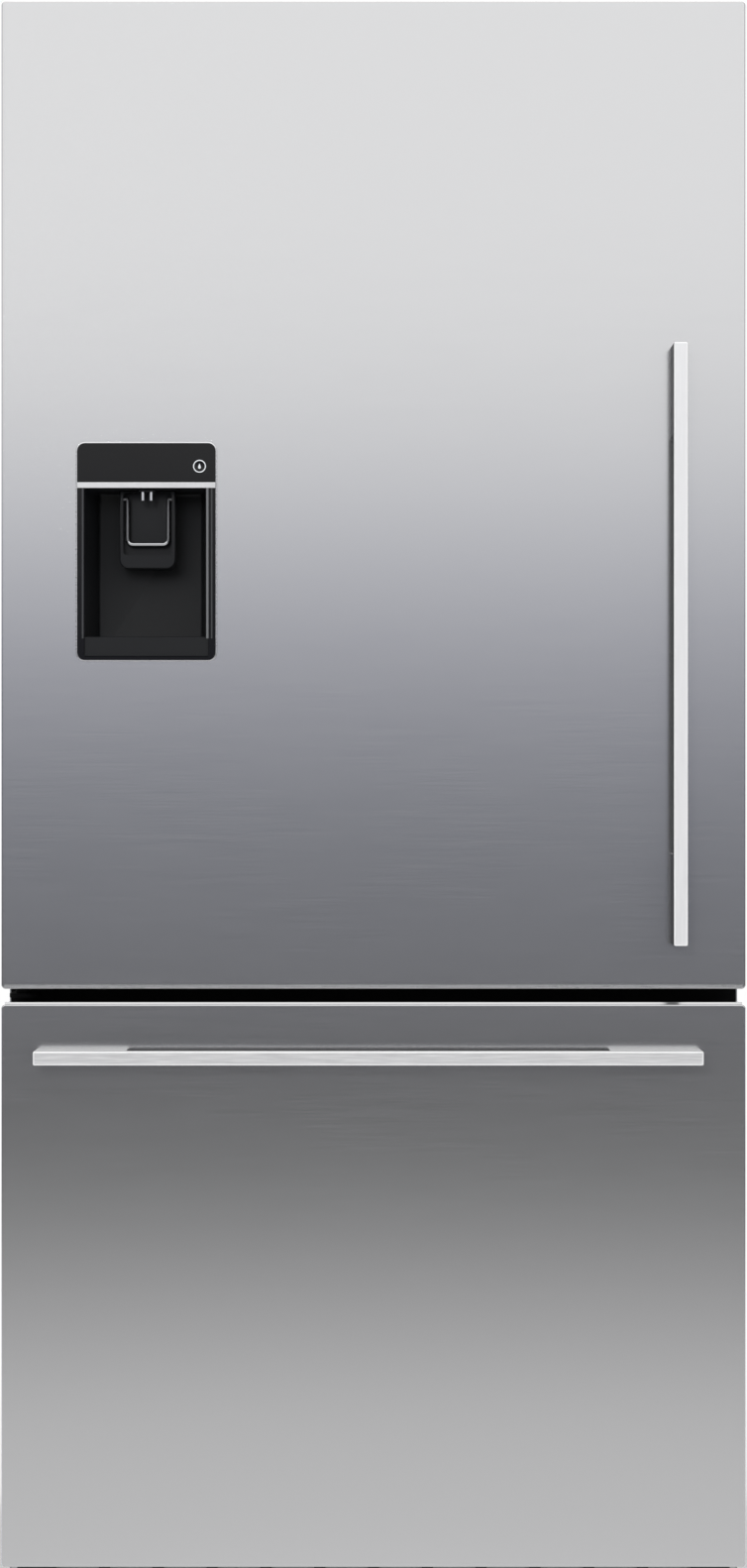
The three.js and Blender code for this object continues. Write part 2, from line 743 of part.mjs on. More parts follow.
function hingeCover() {
  const outer = sideExtrude(hingeCoverOutline(0, 0), ...coverX);
  const hollow = sideExtrude(hingeCoverOutline(coverWall, doorRise), ...grow(coverX, -coverWall));
  const leafSlot = box(
    grow([hingeX - hingeTipRadius, hingeX + hingeTipRadius], fit),
    [coverY[0] - beyond, topHingeY[0]],
    [doorTopZ, topLeafZ[1] + fit],
  );
  return cut(outer, hollow, leafSlot);
}

add(cabinet, 'hinge_top_cover', hingeCover(), satinBlack());

// ---------- Machine space at the bottom of the back ----------

const compressorX = 200;
const compressorY = cabinetBackY - 91;
const compressorRadius = 72;
const compressorFoot = { width: 190, depth: 132, corner: 12, z: [9, 14] };
const rubberMount = { radius: 10, x: 82, y: 53 };
const terminalBox = { sunk: 12, reach: 22, width: 44, z: [62, 112] };
const pipeStub = { radius: 4, x: -30, y: 30, z: [140, 195] };
const machineFloorTopZ = machineFloorZ + plate;

// A welded steel pot on a foot plate with rubber mounts, with its terminal box and pipe stubs.
function compressor() {
  const base = machineFloorTopZ;
  const r = compressorRadius;
  // Radius and height above the machine floor.
  const profile = [
    [0, 10],
    [r * 0.6, 11],
    [r * 0.9, 30],
    [r, 55],
    [r, 82],
    [r + 4, 83],
    [r + 4, 88],
    [r, 89],
    [r, 118],
    [r * 0.86, 146],
    [r * 0.5, 160],
    [0, 165],
  ];
  const above = ([low, high]) => [base + low, base + high];
  const pot = turned(profile, 16).translate(compressorX, compressorY, base);
  const footX = centred(compressorX, compressorFoot.width);
  const footY = centred(compressorY, compressorFoot.depth);
  const footShape = roundedRectangle(footX, footY, compressorFoot.corner);
  const footPlate = planExtrude(footShape, ...above(compressorFoot.z));
  const mountZ = [base + fit, base + compressorFoot.z[0] + lap];
  const mounts = [-1, 1].flatMap((across) => [-1, 1].map((along) => {
    const x = compressorX + across * rubberMount.x;
    return rodZ(rubberMount.radius, x, compressorY + along * rubberMount.y, mountZ, 10);
  }));
  const terminalX = [compressorX + r - terminalBox.sunk, compressorX + r + terminalBox.reach];
  const terminals = box(terminalX, centred(compressorY, terminalBox.width), above(terminalBox.z));
  const stubs = [-1, 1].map((along) => {
    const y = compressorY + along * pipeStub.y;
    return rodZ(pipeStub.radius, compressorX + pipeStub.x, y, above(pipeStub.z), 8);
  });
  return join(pot, footPlate, ...mounts, terminals, ...stubs);
}

add(cabinet, 'compressor', compressor(), blackSteel());

const coilX = [-halfInside + 34, -150];
const coilRowY = [cabinetBackY - 109, cabinetBackY - 73];
const coilRuns = 4;
const coilPitch = 48;
const coilBottomZ = 92;
const coilTubeRadius = 4;
const coilSheetEdge = 22; // tube sheets past the rows of tube
const coilSheetRise = 16; // tube sheets above the highest run

// One tube that goes up through the tube sheets in level runs and comes down again behind.
function condenserCoil() {
  const acrossAxis = new THREE.Vector3(1, 0, 0);
  const upAxis = new THREE.Vector3(0, 0, 1);
  const backAxis = new THREE.Vector3(0, 1, 0);
  const points = [];
  let heading = 1;
  const run = (y, z) => {
    const start = heading > 0 ? coilX[0] : coilX[1];
    const end = heading > 0 ? coilX[1] : coilX[0];
    points.push(new THREE.Vector3(start, y, z), new THREE.Vector3(end, y, z));
  };
  const bend = (centreY, centreZ, radius, second, sense) => {
    const centre = new THREE.Vector3(heading > 0 ? coilX[1] : coilX[0], centreY, centreZ);
    const first = acrossAxis.clone().multiplyScalar(heading);
    const turn = second.clone().multiplyScalar(sense);
    points.push(...arcPoints(centre, radius, first, turn, -Math.PI / 2, Math.PI / 2, 3));
    heading = -heading;
  };
  for (let level = 0; level < coilRuns; level += 1) {
    const z = coilBottomZ + level * coilPitch;
    run(coilRowY[0], z);
    if (level < coilRuns - 1) bend(coilRowY[0], z + coilPitch / 2, coilPitch / 2, upAxis, 1);
  }
  const topZ = coilBottomZ + (coilRuns - 1) * coilPitch;
  bend((coilRowY[0] + coilRowY[1]) / 2, topZ, (coilRowY[1] - coilRowY[0]) / 2, backAxis, 1);
  for (let level = coilRuns - 1; level >= 0; level -= 1) {
    const z = coilBottomZ + level * coilPitch;
    run(coilRowY[1], z);
    if (level > 0) bend(coilRowY[1], z - coilPitch / 2, coilPitch / 2, upAxis, -1);
  }
  const tube = bentTube(points, coilTubeRadius);
  const sheetY = grow(coilRowY, coilSheetEdge);
  const sheetZ = [machineFloorTopZ + fit, topZ + coilSheetRise];
  const sheets = [coilX[0] + plate, coilX[1] - 2 * plate].map((x) => box([x, x + plate], sheetY, sheetZ));
  return join(tube, ...sheets);
}

add(cabinet, 'condenser_coil', condenserCoil(), blackSteel());

const fanSheetX = -98;
const fanCentreY = cabinetBackY - 91;
const fanCentreZ = 152;
const condenserFanRadius = 56;
const fanPlate = 3;
const fanMouthGap = 5; // fan's tips to the mouth's edge
const fanMountGaps = { front: 6, back: 8, top: 4 };
const fanArmWidth = 8;
const fanStandOff = 0.5; // motor's face past the plate
const motorRadius = 18;
const motorLength = 22;
const shaftRadius = 2.5;
const shaftLength = 24;

// An upright plate with a round mouth, and three arms that hold the motor and its shaft.
function condenserFanMount() {
  const y = [machineWallY + fanMountGaps.front, rearPanelFrontY - fanMountGaps.back];
  const z = [machineFloorTopZ + fit, machineCeilingZ - fanMountGaps.top];
  const outline = polygon([[y[0], z[0]], [y[1], z[0]], [y[1], z[1]], [y[0], z[1]]]);
  const mouthRadius = condenserFanRadius + fanMouthGap;
  outline.holes.push(circleShape(fanCentreY, fanCentreZ, mouthRadius));
  const plateX = [fanSheetX, fanSheetX + fanPlate];
  const sheetForm = sideExtrude(outline, ...plateX, 6);
  const arms = [0, 1, 2].map((number) => {
    const arm = box(plateX, centred(0, fanArmWidth), [0, mouthRadius + fanMouthGap]);
    arm.rotateX(number * 2 * Math.PI / 3);
    return arm.translate(0, fanCentreY, fanCentreZ);
  });
  const motorX = [fanSheetX - fanStandOff, fanSheetX + motorLength];
  const motor = rodX(motorRadius, motorX, fanCentreY, fanCentreZ);
  const shaft = rodX(shaftRadius, [fanSheetX - shaftLength, fanSheetX], fanCentreY, fanCentreZ);
  return join(sheetForm, ...arms, motor, shaft);
}

add(cabinet, 'condenser_fan_mount', condenserFanMount(), satinBlack());

// A fan about +Z: hub with a bore, and twisted blades that widen towards their tips.
function fanRotor(radius, hubRadius, hubLength, bladeCount) {
  const hub = turned([
    [shaftRadius + fit, 0],
    [hubRadius, 0],
    [hubRadius, hubLength - 3],
    [hubRadius - 3, hubLength],
    [shaftRadius + fit, hubLength],
    [shaftRadius + fit, 0],
  ], 20);
  const section = (reach, chord, pitch) => {
    const middle = hubLength / 2;
    const halfThick = 0.8;
    const along = [Math.cos(pitch), Math.sin(pitch)];
    const corners = [[-1, -1], [1, -1], [1, 1], [-1, 1]];
    return corners.map(([end, face]) => new THREE.Vector3(
      reach,
      end * chord / 2 * along[0] - face * halfThick * along[1],
      middle + end * chord / 2 * along[1] + face * halfThick * along[0],
    ));
  };
  const rootReach = hubRadius - 3;
  const blade = loft([
    section(rootReach, hubRadius * 0.9, 0.75),
    section((rootReach + radius) / 2, radius * 0.5, 0.52),
    section(radius, radius * 0.62, 0.36),
  ]);
  const blades = Array.from({ length: bladeCount }, (_, number) => {
    return blade.clone().rotateZ(number / bladeCount * 2 * Math.PI);
  });
  return join(hub, ...blades);
}

const condenserFan = add(
  cabinet,
  'condenser_fan',
  fanRotor(condenserFanRadius, 16, 20, 5),
  satinBlack(),
  [fanSheetX - fanStandOff - fit, fanCentreY, fanCentreZ],
);
condenserFan.rotation.y = -Math.PI / 2;

const panSideGap = 24; // pan's sides inside the coil's ends
const panY = [coilRowY[0] - 60, coilRowY[1] + 55];
const panTopZ = 72;

add(
  cabinet,
  'drain_pan',
  tub(grow(coilX, -panSideGap), panY, [machineFloorTopZ + fit, panTopZ]),
  satinBlack(),
);

const valveX = halfInside - 24;
const valveY = cabinetBackY - 36;
const valveZ = 178;
const valveSize = 30;
const valveCoilRadius = 12;
const valveCoilHeight = 32;
const valveBracket = { width: 44, z: [-20, 50] };
const spigotRadius = 12.5;
const spigotWall = 4;
const collarLand = 2;
const collarLength = 6;

// The water inlet valve: body, coil, and the spigot that the supply hose screws onto.
function waterValve() {
  const face = valveSize / 2 - lap;
  const body = box(centred(valveX, valveSize), centred(valveY, valveSize), centred(valveZ, valveSize));
  const spigotY = [valveY + face, cabinetBackY - 0.2];
  const spigot = rodY(spigotRadius, valveX, spigotY, valveZ);
  const collar = rodY(spigotRadius + collarLand, valveX, [spigotY[0], spigotY[0] + collarLength], valveZ);
  const coilZ = [valveZ + face, valveZ + face + valveCoilHeight];
  const coil = rodZ(valveCoilRadius, valveX, valveY, coilZ);
  const bracketX = [valveX + face, halfInside - plate - fit];
  const bracketZ = valveBracket.z.map((height) => valveZ + height);
  const bracket = box(bracketX, centred(valveY, valveBracket.width), bracketZ);
  const boreY = [spigotY[0] + 8, cabinetBackY + beyond];
  const bore = rodY(spigotRadius - spigotWall, valveX, boreY, valveZ);
  return cut(join(body, spigot, collar, coil, bracket), bore);
}

add(cabinet, 'water_valve', waterValve(), whitePlastic());

const glandX = -halfInside + 42;
const glandZ = 70;
const glandRadius = 6;
const glandWall = 4;
const glandDepth = 6;
const valveHoleGap = 2;
const airSlot = { count: 5, width: 90, pitch: 112, height: 10 };
const airSlotRises = [64, 92, 120, 148, 176];

// The removable rear cover, with blocks of air slots, the valve's hole and the empty cord gland.
function machineCover() {
  const x = grow([-halfInside, halfInside], -fit);
  const z = [machineFloorTopZ + fit, foamStepZ - 2 * fit];
  const y = [cabinetBackY - sheet, cabinetBackY];
  const slots = airSlotRises.flatMap((rise) => slotShapes(airSlot, z[0] + rise));
  const valveHole = rodY(spigotRadius + valveHoleGap, valveX, grow(y, beyond), valveZ, 20);
  const collarY = [y[0] - glandDepth, cabinetBackY];
  const collar = rodY(glandRadius + glandWall, glandX, collarY, glandZ, 20);
  const opening = rodY(glandRadius, glandX, grow(collarY, beyond), glandZ, 20);
  return cut(join(pierced(box(x, y, z), slots, ...y), collar), valveHole, opening);
}

add(cabinet, 'machine_cover', machineCover(), satinBlack());

// ---------- Cold air parts ----------

const evaporatorCoverY = clearBackY - 104;
const evaporatorFanZ = freezerClear[1] - 54;
const evaporatorFanRadius = 42;
const evaporatorX = [-240, 240];
const evaporatorRises = [10, 175]; // above the freezer's raised floor
const evaporatorDepth = 82;
const evaporatorHeader = 9;
const coverSheet = 3;
const returnSlot = { count: 5, width: 88, pitch: 110, height: 8 };
const returnSlotRises = [24, 42];
const spokeWidth = 5;
const hoopRadii = [27, 31];
const coverFlangeDepth = 24;
const evaporatorMotorLength = 14;
const evaporatorShaftLength = 36;

// A block of upright cooling fins that stand forward from their header at the back wall.
function evaporator() {
  const finCount = 19;
  const finThickness = 1.4;
  const backY = clearBackY - fit;
  const finFrontY = backY - evaporatorDepth;
  const spineY = backY - evaporatorHeader;
  const pitch = (evaporatorX[1] - evaporatorX[0] - finThickness) / (finCount - 1);
  const points = [[evaporatorX[1], backY], [evaporatorX[0], backY]];
  for (let fin = 0; fin < finCount; fin += 1) {
    const x = evaporatorX[0] + fin * pitch;
    if (fin > 0) points.push([x, spineY]);
    points.push([x, finFrontY], [x + finThickness, finFrontY]);
    if (fin < finCount - 1) points.push([x + finThickness, spineY]);
  }
  return planExtrude(polygon(points), ...evaporatorRises.map((rise) => freezerShelfZ + rise));
}

add(cabinet, 'evaporator', evaporator(), aluminium());

// The freezer's inner back wall: fan mouth with its spider and motor, and return slots low down.
function evaporatorCover() {
  const x = [-halfClear + fit, halfClear - fit];
  const z = [freezerShelfZ + fit, freezerClear[1] - fit];
  const y = [evaporatorCoverY, evaporatorCoverY + coverSheet];
  const radius = compartmentRadius - linerWall;
  const slots = returnSlotRises.flatMap((rise) => slotShapes(returnSlot, z[0] + rise));
  const mouthRadius = evaporatorFanRadius + 4;
  const mouth = rodY(mouthRadius, 0, grow(y, beyond), evaporatorFanZ, 24);
  const wall = cut(pierced(frontExtrude(roundedRectangle(x, z, radius), ...y), slots, ...y), mouth);
  const spokes = [0, 1, 2, 3].map((number) => {
    const spoke = box(centred(0, spokeWidth), y, [0, mouthRadius + 4]);
    return spoke.rotateY(number * Math.PI / 2 + Math.PI / 4).translate(0, 0, evaporatorFanZ);
  });
  const hoop = frontExtrude(circleShape(0, evaporatorFanZ, hoopRadii[1]), ...y, 4);
  const hoopHole = frontExtrude(circleShape(0, evaporatorFanZ, hoopRadii[0]), ...grow(y, beyond), 4);
  const motor = rodY(motorRadius, 0, [y[0], y[1] + evaporatorMotorLength], evaporatorFanZ);
  const shaft = rodY(shaftRadius, 0, [y[1], y[1] + evaporatorShaftLength], evaporatorFanZ);
  const flanges = [-1, 1].map((side) => {
    const flangeX = onSide(side, halfClear - fit - plate, halfClear - fit);
    return box(flangeX, [y[0] + lap, y[0] + coverFlangeDepth], grow(z, -radius));
  });
  return join(wall, cut(hoop, hoopHole), ...spokes, motor, shaft, ...flanges);
}

add(cabinet, 'evaporator_cover', evaporatorCover(), whitePlastic());

const evaporatorFan = add(
  cabinet,
  'evaporator_fan',
  fanRotor(evaporatorFanRadius, 14, 18, 5),
  satinBlack(),
  [0, evaporatorCoverY + coverSheet + evaporatorMotorLength + fit, evaporatorFanZ],
);
evaporatorFan.rotation.x = -Math.PI / 2;

const ductWidth = 200;
const ductZ = [fridgeClear[0] + 238, fridgeClear[0] + 908];
const ductSlope = 12; // how far its sides lean in
const ductWall = 4;
const outlet = { count: 2, width: 52, pitch: 84, height: 14 };
const outletRises = [120, 370, 560];

// The air duct on the fridge's back wall: a shallow channel with pairs of outlets.
function fridgeDuct() {
  const y = [clearBackY - fit - ductDepth, clearBackY - fit];
  const x = centred(0, ductWidth);
  const trapezium = (base, top, front, back) => polygon([
    [x[0] + base, back],
    [x[0] + top, front],
    [x[1] - top, front],
    [x[1] - base, back],
  ]);
  const outline = trapezium(0, ductSlope, ...y);
  const hollow = trapezium(ductWall, ductSlope + plate, y[0] + plate, y[1] + beyond);
  const channel = cut(planExtrude(outline, ...ductZ), planExtrude(hollow, ...grow(ductZ, -ductWall)));
  const outlets = outletRises.flatMap((rise) => slotShapes(outlet, ductZ[0] + rise));
  return pierced(channel, outlets, y[0], y[0] + plate);
}

add(cabinet, 'fridge_duct', fridgeDuct(), whitePlastic());

const lampWidth = 220;
const lampDepth = 100;
const lampHeight = 10;
const lampY = shelfFrontY + 120;

function lampCover() {
  const z = [fridgeClear[1] - fit - lampHeight, fridgeClear[1] - fit];
  const x = centred(0, lampWidth);
  const y = centred(lampY, lampDepth);
  const level = (inset, radius, height) => ring(grow(x, -inset), grow(y, -inset), radius, height);
  return loft([level(7, 8, z[0]), level(1.5, 13, z[0] + 4), level(0, 14, z[1])]);
}

add(cabinet, 'lamp_cover', lampCover(), clearPlastic());

const filterRadius = 30;
const filterLength = 215;

// The water filter cartridge lies under the ceiling, with a ribbed grip towards the door.
function waterFilter() {
  const profile = [
    [0, 0],
    [filterRadius, 0],
    [filterRadius, 150],
    [filterRadius - 4, 156],
    [filterRadius - 4, 160],
    [filterRadius - 1, 162],
    [filterRadius - 1, filterLength - 6],
    [filterRadius - 7, filterLength],
    [0, filterLength],
  ];
  return turned(profile, 20);
}

const filterMesh = add(
  cabinet,
  'water_filter',
  waterFilter(),
  whitePlastic(),
  [halfClear - 60, clearBackY - fit, fridgeClear[1] - 48],
);
filterMesh.rotation.x = Math.PI / 2;

// ---------- Shelves and crispers ----------

const shelfThickness = 5;
const shelfSideGap = 0.6;
const crisperHeight = 190;
const crisperSideGap = 6;
const crisperFrontY = shelfFrontY + 14;
const crisperBackY = shelfBackY - 24;
const dividerThickness = 4;
const webFrontGap = 20;
const webBackGap = 10;
const pullReach = 9; // finger pull ahead of the crisper's front
const pullDepth = 26;
const pullEndGap = 30;

function shelfPane(rise) {
  const x = grow([-halfClear, halfClear], -shelfSideGap);
  const z = fridgeClear[0] + rise + fit;
  return planExtrude(roundedRectangle(x, [shelfFrontY, shelfBackY], 6), z, z + shelfThickness);
}

add(cabinet, 'shelf_middle', shelfPane(middleShelfRise), shelfGlass());
add(cabinet, 'shelf_upper', shelfPane(upperShelfRise), shelfGlass());

// The shelf over the crispers has an upright web that parts them and stands on the floor.
function crisperCover() {
  const pane = shelfPane(crisperCoverRise);
  const web = box(
    centred(0, dividerThickness),
    [shelfFrontY + webFrontGap, shelfBackY - webBackGap],
    [fridgeClear[0] + fit, fridgeClear[0] + crisperCoverRise + fit + lap],
  );
  return join(pane, web);
}

add(cabinet, 'crisper_cover', crisperCover(), clearPlastic());

// A crisper is a deep tub whose front stands a little higher, with a finger pull along its top edge.
function crisper() {
  const x = centred(0, halfClear - crisperSideGap * 2 - dividerThickness / 2);
  const y = [0, crisperBackY - crisperFrontY];
  const body = tub(x, y, [0, crisperHeight], { draft: 9, radius: 16 });
  const pullTop = crisperHeight - 0.5;
  const root = binWall / 4;
  const pullOutline = polygon([
    [root, pullTop - pullDepth],
    [root, pullTop],
    [-pullReach, pullTop],
    [-pullReach, pullTop - 4],
    [-pullReach / 3, pullTop - 8],
  ]);
  const pull = sideExtrude(pullOutline, ...grow(x, -pullEndGap));
  return join(body, pull);
}

const crisperX = (halfClear + dividerThickness / 2) / 2;

for (const [name, side] of [['crisper_left', -1], ['crisper_right', 1]]) {
  add(cabinet, name, crisper(), clearPlastic(), [side * crisperX, crisperFrontY, fridgeClear[0] + fit]);
}

// ---------- Door and drawer fronts ----------

// Quarter-round edge: how far the outline draws in at each depth behind the face.
function edgeRounds(radius) {
  return [0, 1, 2, 3].map((step) => {
    const angle = step / 3 * Math.PI / 2;
    return { inset: radius * (1 - Math.sin(angle)), depth: radius * (1 - Math.cos(angle)) };
  });
}

function roundedFaceRings(x, z, yFace, yBack, edgeRadius, cornerRadius) {
  const levels = edgeRounds(edgeRadius).map(({ inset, depth }) => {
    return ring(grow(x, -inset), grow(z, -inset), Math.max(cornerRadius - inset, 0.6), depth);
  });
  levels.push(ring(x, z, cornerRadius, yBack - yFace));
  return levels;
}

// Rings are drawn with the face down; this turns them to face the front at yFace.
function facingFront(geometry, yFace, z) {
  const middle = z[0] + z[1];
  return geometry.rotateX(-Math.PI / 2).translate(0, yFace, middle);
}

// A pan folded from one sheet: flat face, rounded edges and four walls that reach back.
function frontPan(x, z) {
  const yBack = doorBackY - linerWall - fit;
  const outer = roundedFaceRings(x, z, frontY, yBack, frontEdgeRadius, frontCornerRadius);
  const innerX = grow(x, -sheet);
  const innerZ = grow(z, -sheet);
  const innerEdge = frontEdgeRadius - sheet;
  const innerCorner = frontCornerRadius - sheet;
  const inner = roundedFaceRings(innerX, innerZ, frontY + sheet, yBack, innerEdge, innerCorner);
  for (const level of inner) {
    for (const point of level) point.z += sheet;
  }
  return facingFront(loft([...outer, ...inner.reverse()]), frontY, z);
}

// The foam block that fills the pan, and the moulded inner face that closes it.
function frontCore(x, z) {
  const face = frontY + sheet + fit;
  const inset = sheet + fit;
  const edge = frontEdgeRadius - sheet;
  const rings = roundedFaceRings(grow(x, -inset), grow(z, -inset), face, doorBackY - 1, edge, 2.5);
  const block = facingFront(loft(rings), face, z);
  const backFace = roundedRectangle(grow(x, -1), grow(z, -1), frontCornerRadius);
  return join(block, frontExtrude(backFace, doorBackY - linerWall, doorBackY));
}

const gasketWidth = 20;
const gasketSideX = halfFlange - 1; // outer edge of the gaskets' upright strips
const gasketRadius = 8;

// A gasket frame with a bellows groove round its outside.
function gasket(x, z) {
  const y = [doorBackY + fit, cabinetFrontY - fit];
  const outer = roundedRectangle(x, z, gasketRadius);
  outer.holes.push(roundedRectangle(grow(x, -gasketWidth), grow(z, -gasketWidth), 3));
  const frame = frontExtrude(outer, ...y, 1);
  const groove = roundedRectangle(grow(x, 2), grow(z, 2), gasketRadius);
  groove.holes.push(roundedRectangle(grow(x, -3.5), grow(z, -3.5), gasketRadius));
  return cut(frame, frontExtrude(groove, y[0] + 4, y[1] - 4, 1));
}

// ---------- Upper door ----------

const doorX = [-halfFront, halfFront];
const doorZ = [doorBottomZ, doorTopZ];
const ridgeWidth = 16;
const ridgeDepth = 40;
const ridgeX = [-halfClear + 18, halfClear - 18];
const ridgeZ = [fridgeClear[0] + 13, fridgeClear[1] - 12];
const ridgeRadius = 20;
const lug = { reach: 12, height: 7, y: [doorBackY + 12, doorBackY + 26] };
const binDepth = 85;

const dispenserX = -241;
const dispenserZ = doorTopZ - 584; // centre of the dispenser's face
const dispenserWidth = 148;
const dispenserHeight = 231;
const dispenserRadius = 8.7;
const headerHeight = 42;
const stripHeight = 6;
const recessWidth = 136;
const recessDepth = 84;
const recessDraft = 10;
const recessWall = 2;
const bezelThickness = 2;
const dispenserTopZ = dispenserZ + dispenserHeight / 2;
const dispenserBottomZ = dispenserZ - dispenserHeight / 2;
const stripZ = [dispenserTopZ - headerHeight - stripHeight, dispenserTopZ - headerHeight];
const recessZ = [dispenserBottomZ + 2, stripZ[0] + 2];
const buttonX = dispenserX + 56.4;
const buttonZ = dispenserTopZ - 25;
const buttonRadius = 7.35;
const buttonFlange = 9;
const buttonPocketDepth = 14;
const bulgeMargin = { side: 11, end: 12, back: 16 }; // foam cover round the recess

const doorBins = [
  { name: 'door_bin_lower', rise: ridgeWidth + fit, height: 115 },
  { name: 'door_bin_middle', rise: 560, height: 90 },
  { name: 'door_bin_upper', rise: 770, height: 80 },
];

function doorBores() {
  const depth = pinReach + pinEndGap;
  return [
    rodZ(pinRadius + fit, hingeX, hingeY, [doorBottomZ - beyond, doorBottomZ + depth]),
    rodZ(pinRadius + fit, hingeX, hingeY, [doorTopZ - depth, doorTopZ + beyond]),
  ];
}

function doorPanel() {
  const holeY = grow([frontY, frontY + sheet], beyond);
  const recessHole = box(centred(dispenserX, recessWidth + 2 * fit), holeY, grow(recessZ, fit));
  const buttonHole = rodY(buttonFlange + 1, buttonX, holeY, buttonZ);
  return cut(frontPan(doorX, doorZ), recessHole, buttonHole, ...doorBores());
}

add(door, 'door_panel', doorPanel(), stainless());

function doorInner() {
  const ridgeY = [doorBackY - lap, doorBackY + ridgeDepth];
  const ridgeShape = roundedRectangle(ridgeX, ridgeZ, ridgeRadius);
  const insideX = grow(ridgeX, -ridgeWidth);
  ridgeShape.holes.push(roundedRectangle(insideX, grow(ridgeZ, -ridgeWidth), ridgeRadius - ridgeWidth));
  const ridge = frontExtrude(ridgeShape, ...ridgeY);
  const bulgeX = grow(centred(dispenserX, recessWidth), bulgeMargin.side);
  const bulgeY = [doorBackY - lap, frontY + recessDepth + bulgeMargin.back];
  const bulge = frontExtrude(roundedRectangle(bulgeX, grow(recessZ, bulgeMargin.end), 8), ...bulgeY);
  const lugs = doorBins.flatMap(({ rise }) => [-1, 1].map((side) => {
    const inside = side > 0 ? insideX[1] : -insideX[0];
    const top = ridgeZ[0] + rise - fit;
    return box(onSide(side, inside - lug.reach, inside + lap), lug.y, [top - lug.height, top]);
  }));
  const recessPocket = recessForm(fit, frontY - beyond);
  const buttonPocket = rodY(buttonFlange + 1, buttonX, [frontY, frontY + buttonPocketDepth], buttonZ);
  const whole = join(frontCore(doorX, doorZ), ridge, bulge, ...lugs);
  return cut(whole, recessPocket, buttonPocket, ...doorBores());
}

// The recess narrows towards its back. grown is how much wider than the recess's outside.
function recessForm(grown, yFront) {
  const slope = recessDraft / recessDepth;
  const lead = (frontY - yFront) * slope;
  const outerX = grow(centred(dispenserX, recessWidth), grown + lead);
  const backX = grow(centred(dispenserX, recessWidth), grown - recessDraft);
  const z = grow(recessZ, grown);
  const shape = polygon([
    [outerX[0], yFront],
    [outerX[1], yFront],
    [backX[1], frontY + recessDepth + grown],
    [backX[0], frontY + recessDepth + grown],
  ]);
  return planExtrude(shape, ...z);
}

add(door, 'door_inner', doorInner(), whitePlastic());

const fridgeGasketZ = [rail[1] + 3, cabinetTopZ - 15];
add(door, 'door_gasket', gasket([-gasketSideX, gasketSideX], fridgeGasketZ), softGrey());

for (const { name, rise, height } of doorBins) {
  const x = grow(ridgeX, -ridgeWidth - fit);
  const y = [doorBackY + fit, doorBackY + binDepth];
  const z = [ridgeZ[0] + rise, ridgeZ[0] + rise + height];
  add(door, name, tub(x, y, z, { draft: 5, radius: 18 }), clearPlastic());
}

// ---------- Handles ----------

const handleWidth = 14.7;
const handleBarDepth = 13;
const handleFootLength = 97;
const doorHandleX = 323;
const doorHandleZ = [doorBottomZ + 47.4, doorBottomZ + 681.8];
const drawerHandleX = [-358, 347];
const drawerHandleZ = drawerTopZ - 54.3;

// A handle seen along its width: a straight bar with a long foot at each end.
function handleOutline(span) {
  const bar = handleFrontY;
  const back = frontY - fit;
  const gap = handleFrontY + handleBarDepth;
  const inner = [span[0] + handleFootLength, span[1] - handleFootLength];
  const soft = 0.8;
  return [
    [span[0], bar + soft],
    [span[0] + soft, bar],
    [span[1] - soft, bar],
    [span[1], bar + soft],
    [span[1], back],
    [inner[1], back],
    [inner[1], gap + 3],
    [inner[1] - 3, gap],
    [inner[0] + 3, gap],
    [inner[0], gap + 3],
    [inner[0], back],
    [span[0], back],
  ];
}

function doorHandle() {
  const outline = handleOutline(doorHandleZ).map(([along, y]) => [y, along]).reverse();
  return sideExtrude(polygon(outline), ...centred(doorHandleX, handleWidth));
}

function drawerHandle() {
  return planExtrude(polygon(handleOutline(drawerHandleX)), ...centred(drawerHandleZ, handleWidth));
}

add(door, 'door_handle', doorHandle(), handleMetal());

// ---------- Water dispenser ----------

const bezelY = [frontY - fit - bezelThickness, frontY - fit];
const recessFloorZ = recessZ[0] + recessWall;
const recessCeilingZ = recessZ[1] - recessWall;
const recessInnerBackY = frontY + recessDepth - recessWall;

function dispenserBezel() {
  const face = roundedRectangle(
    centred(dispenserX, dispenserWidth),
    [dispenserBottomZ, dispenserTopZ],
    dispenserRadius,
  );
  const windowX = centred(dispenserX, recessWidth - 2 * recessWall);
  const windowShape = roundedRectangle(windowX, [recessFloorZ, stripZ[0] - 0.5], 1.5);
  const buttonHole = rodY(buttonRadius + fit, buttonX, grow(bezelY, 1), buttonZ, 32);
  return cut(pierced(frontExtrude(face, ...bezelY, 4), [windowShape], ...bezelY), buttonHole);
}

add(dispenser, 'dispenser_bezel', dispenserBezel(), glossBlack());

// The recess is a thin tub whose side walls draw in towards the back.
function dispenserRecess() {
  const slope = recessDraft / recessDepth;
  const frontHalf = recessWidth / 2 - recessWall + slope;
  const backHalf = recessWidth / 2 - recessWall - recessDraft + recessWall * slope;
  const inner = polygon([
    [dispenserX - frontHalf, frontY - 1],
    [dispenserX + frontHalf, frontY - 1],
    [dispenserX + backHalf, recessInnerBackY],
    [dispenserX - backHalf, recessInnerBackY],
  ]);
  return cut(recessForm(0, frontY), planExtrude(inner, recessFloorZ, recessCeilingZ));
}

add(dispenser, 'dispenser_recess', dispenserRecess(), satinBlack());

const stripThickness = 1;

add(
  dispenser,
  'dispenser_strip',
  box(
    centred(dispenserX, dispenserWidth - 1.4),
    [bezelY[0] - fit - stripThickness, bezelY[0] - fit],
    stripZ,
  ),
  aluminium(),
);

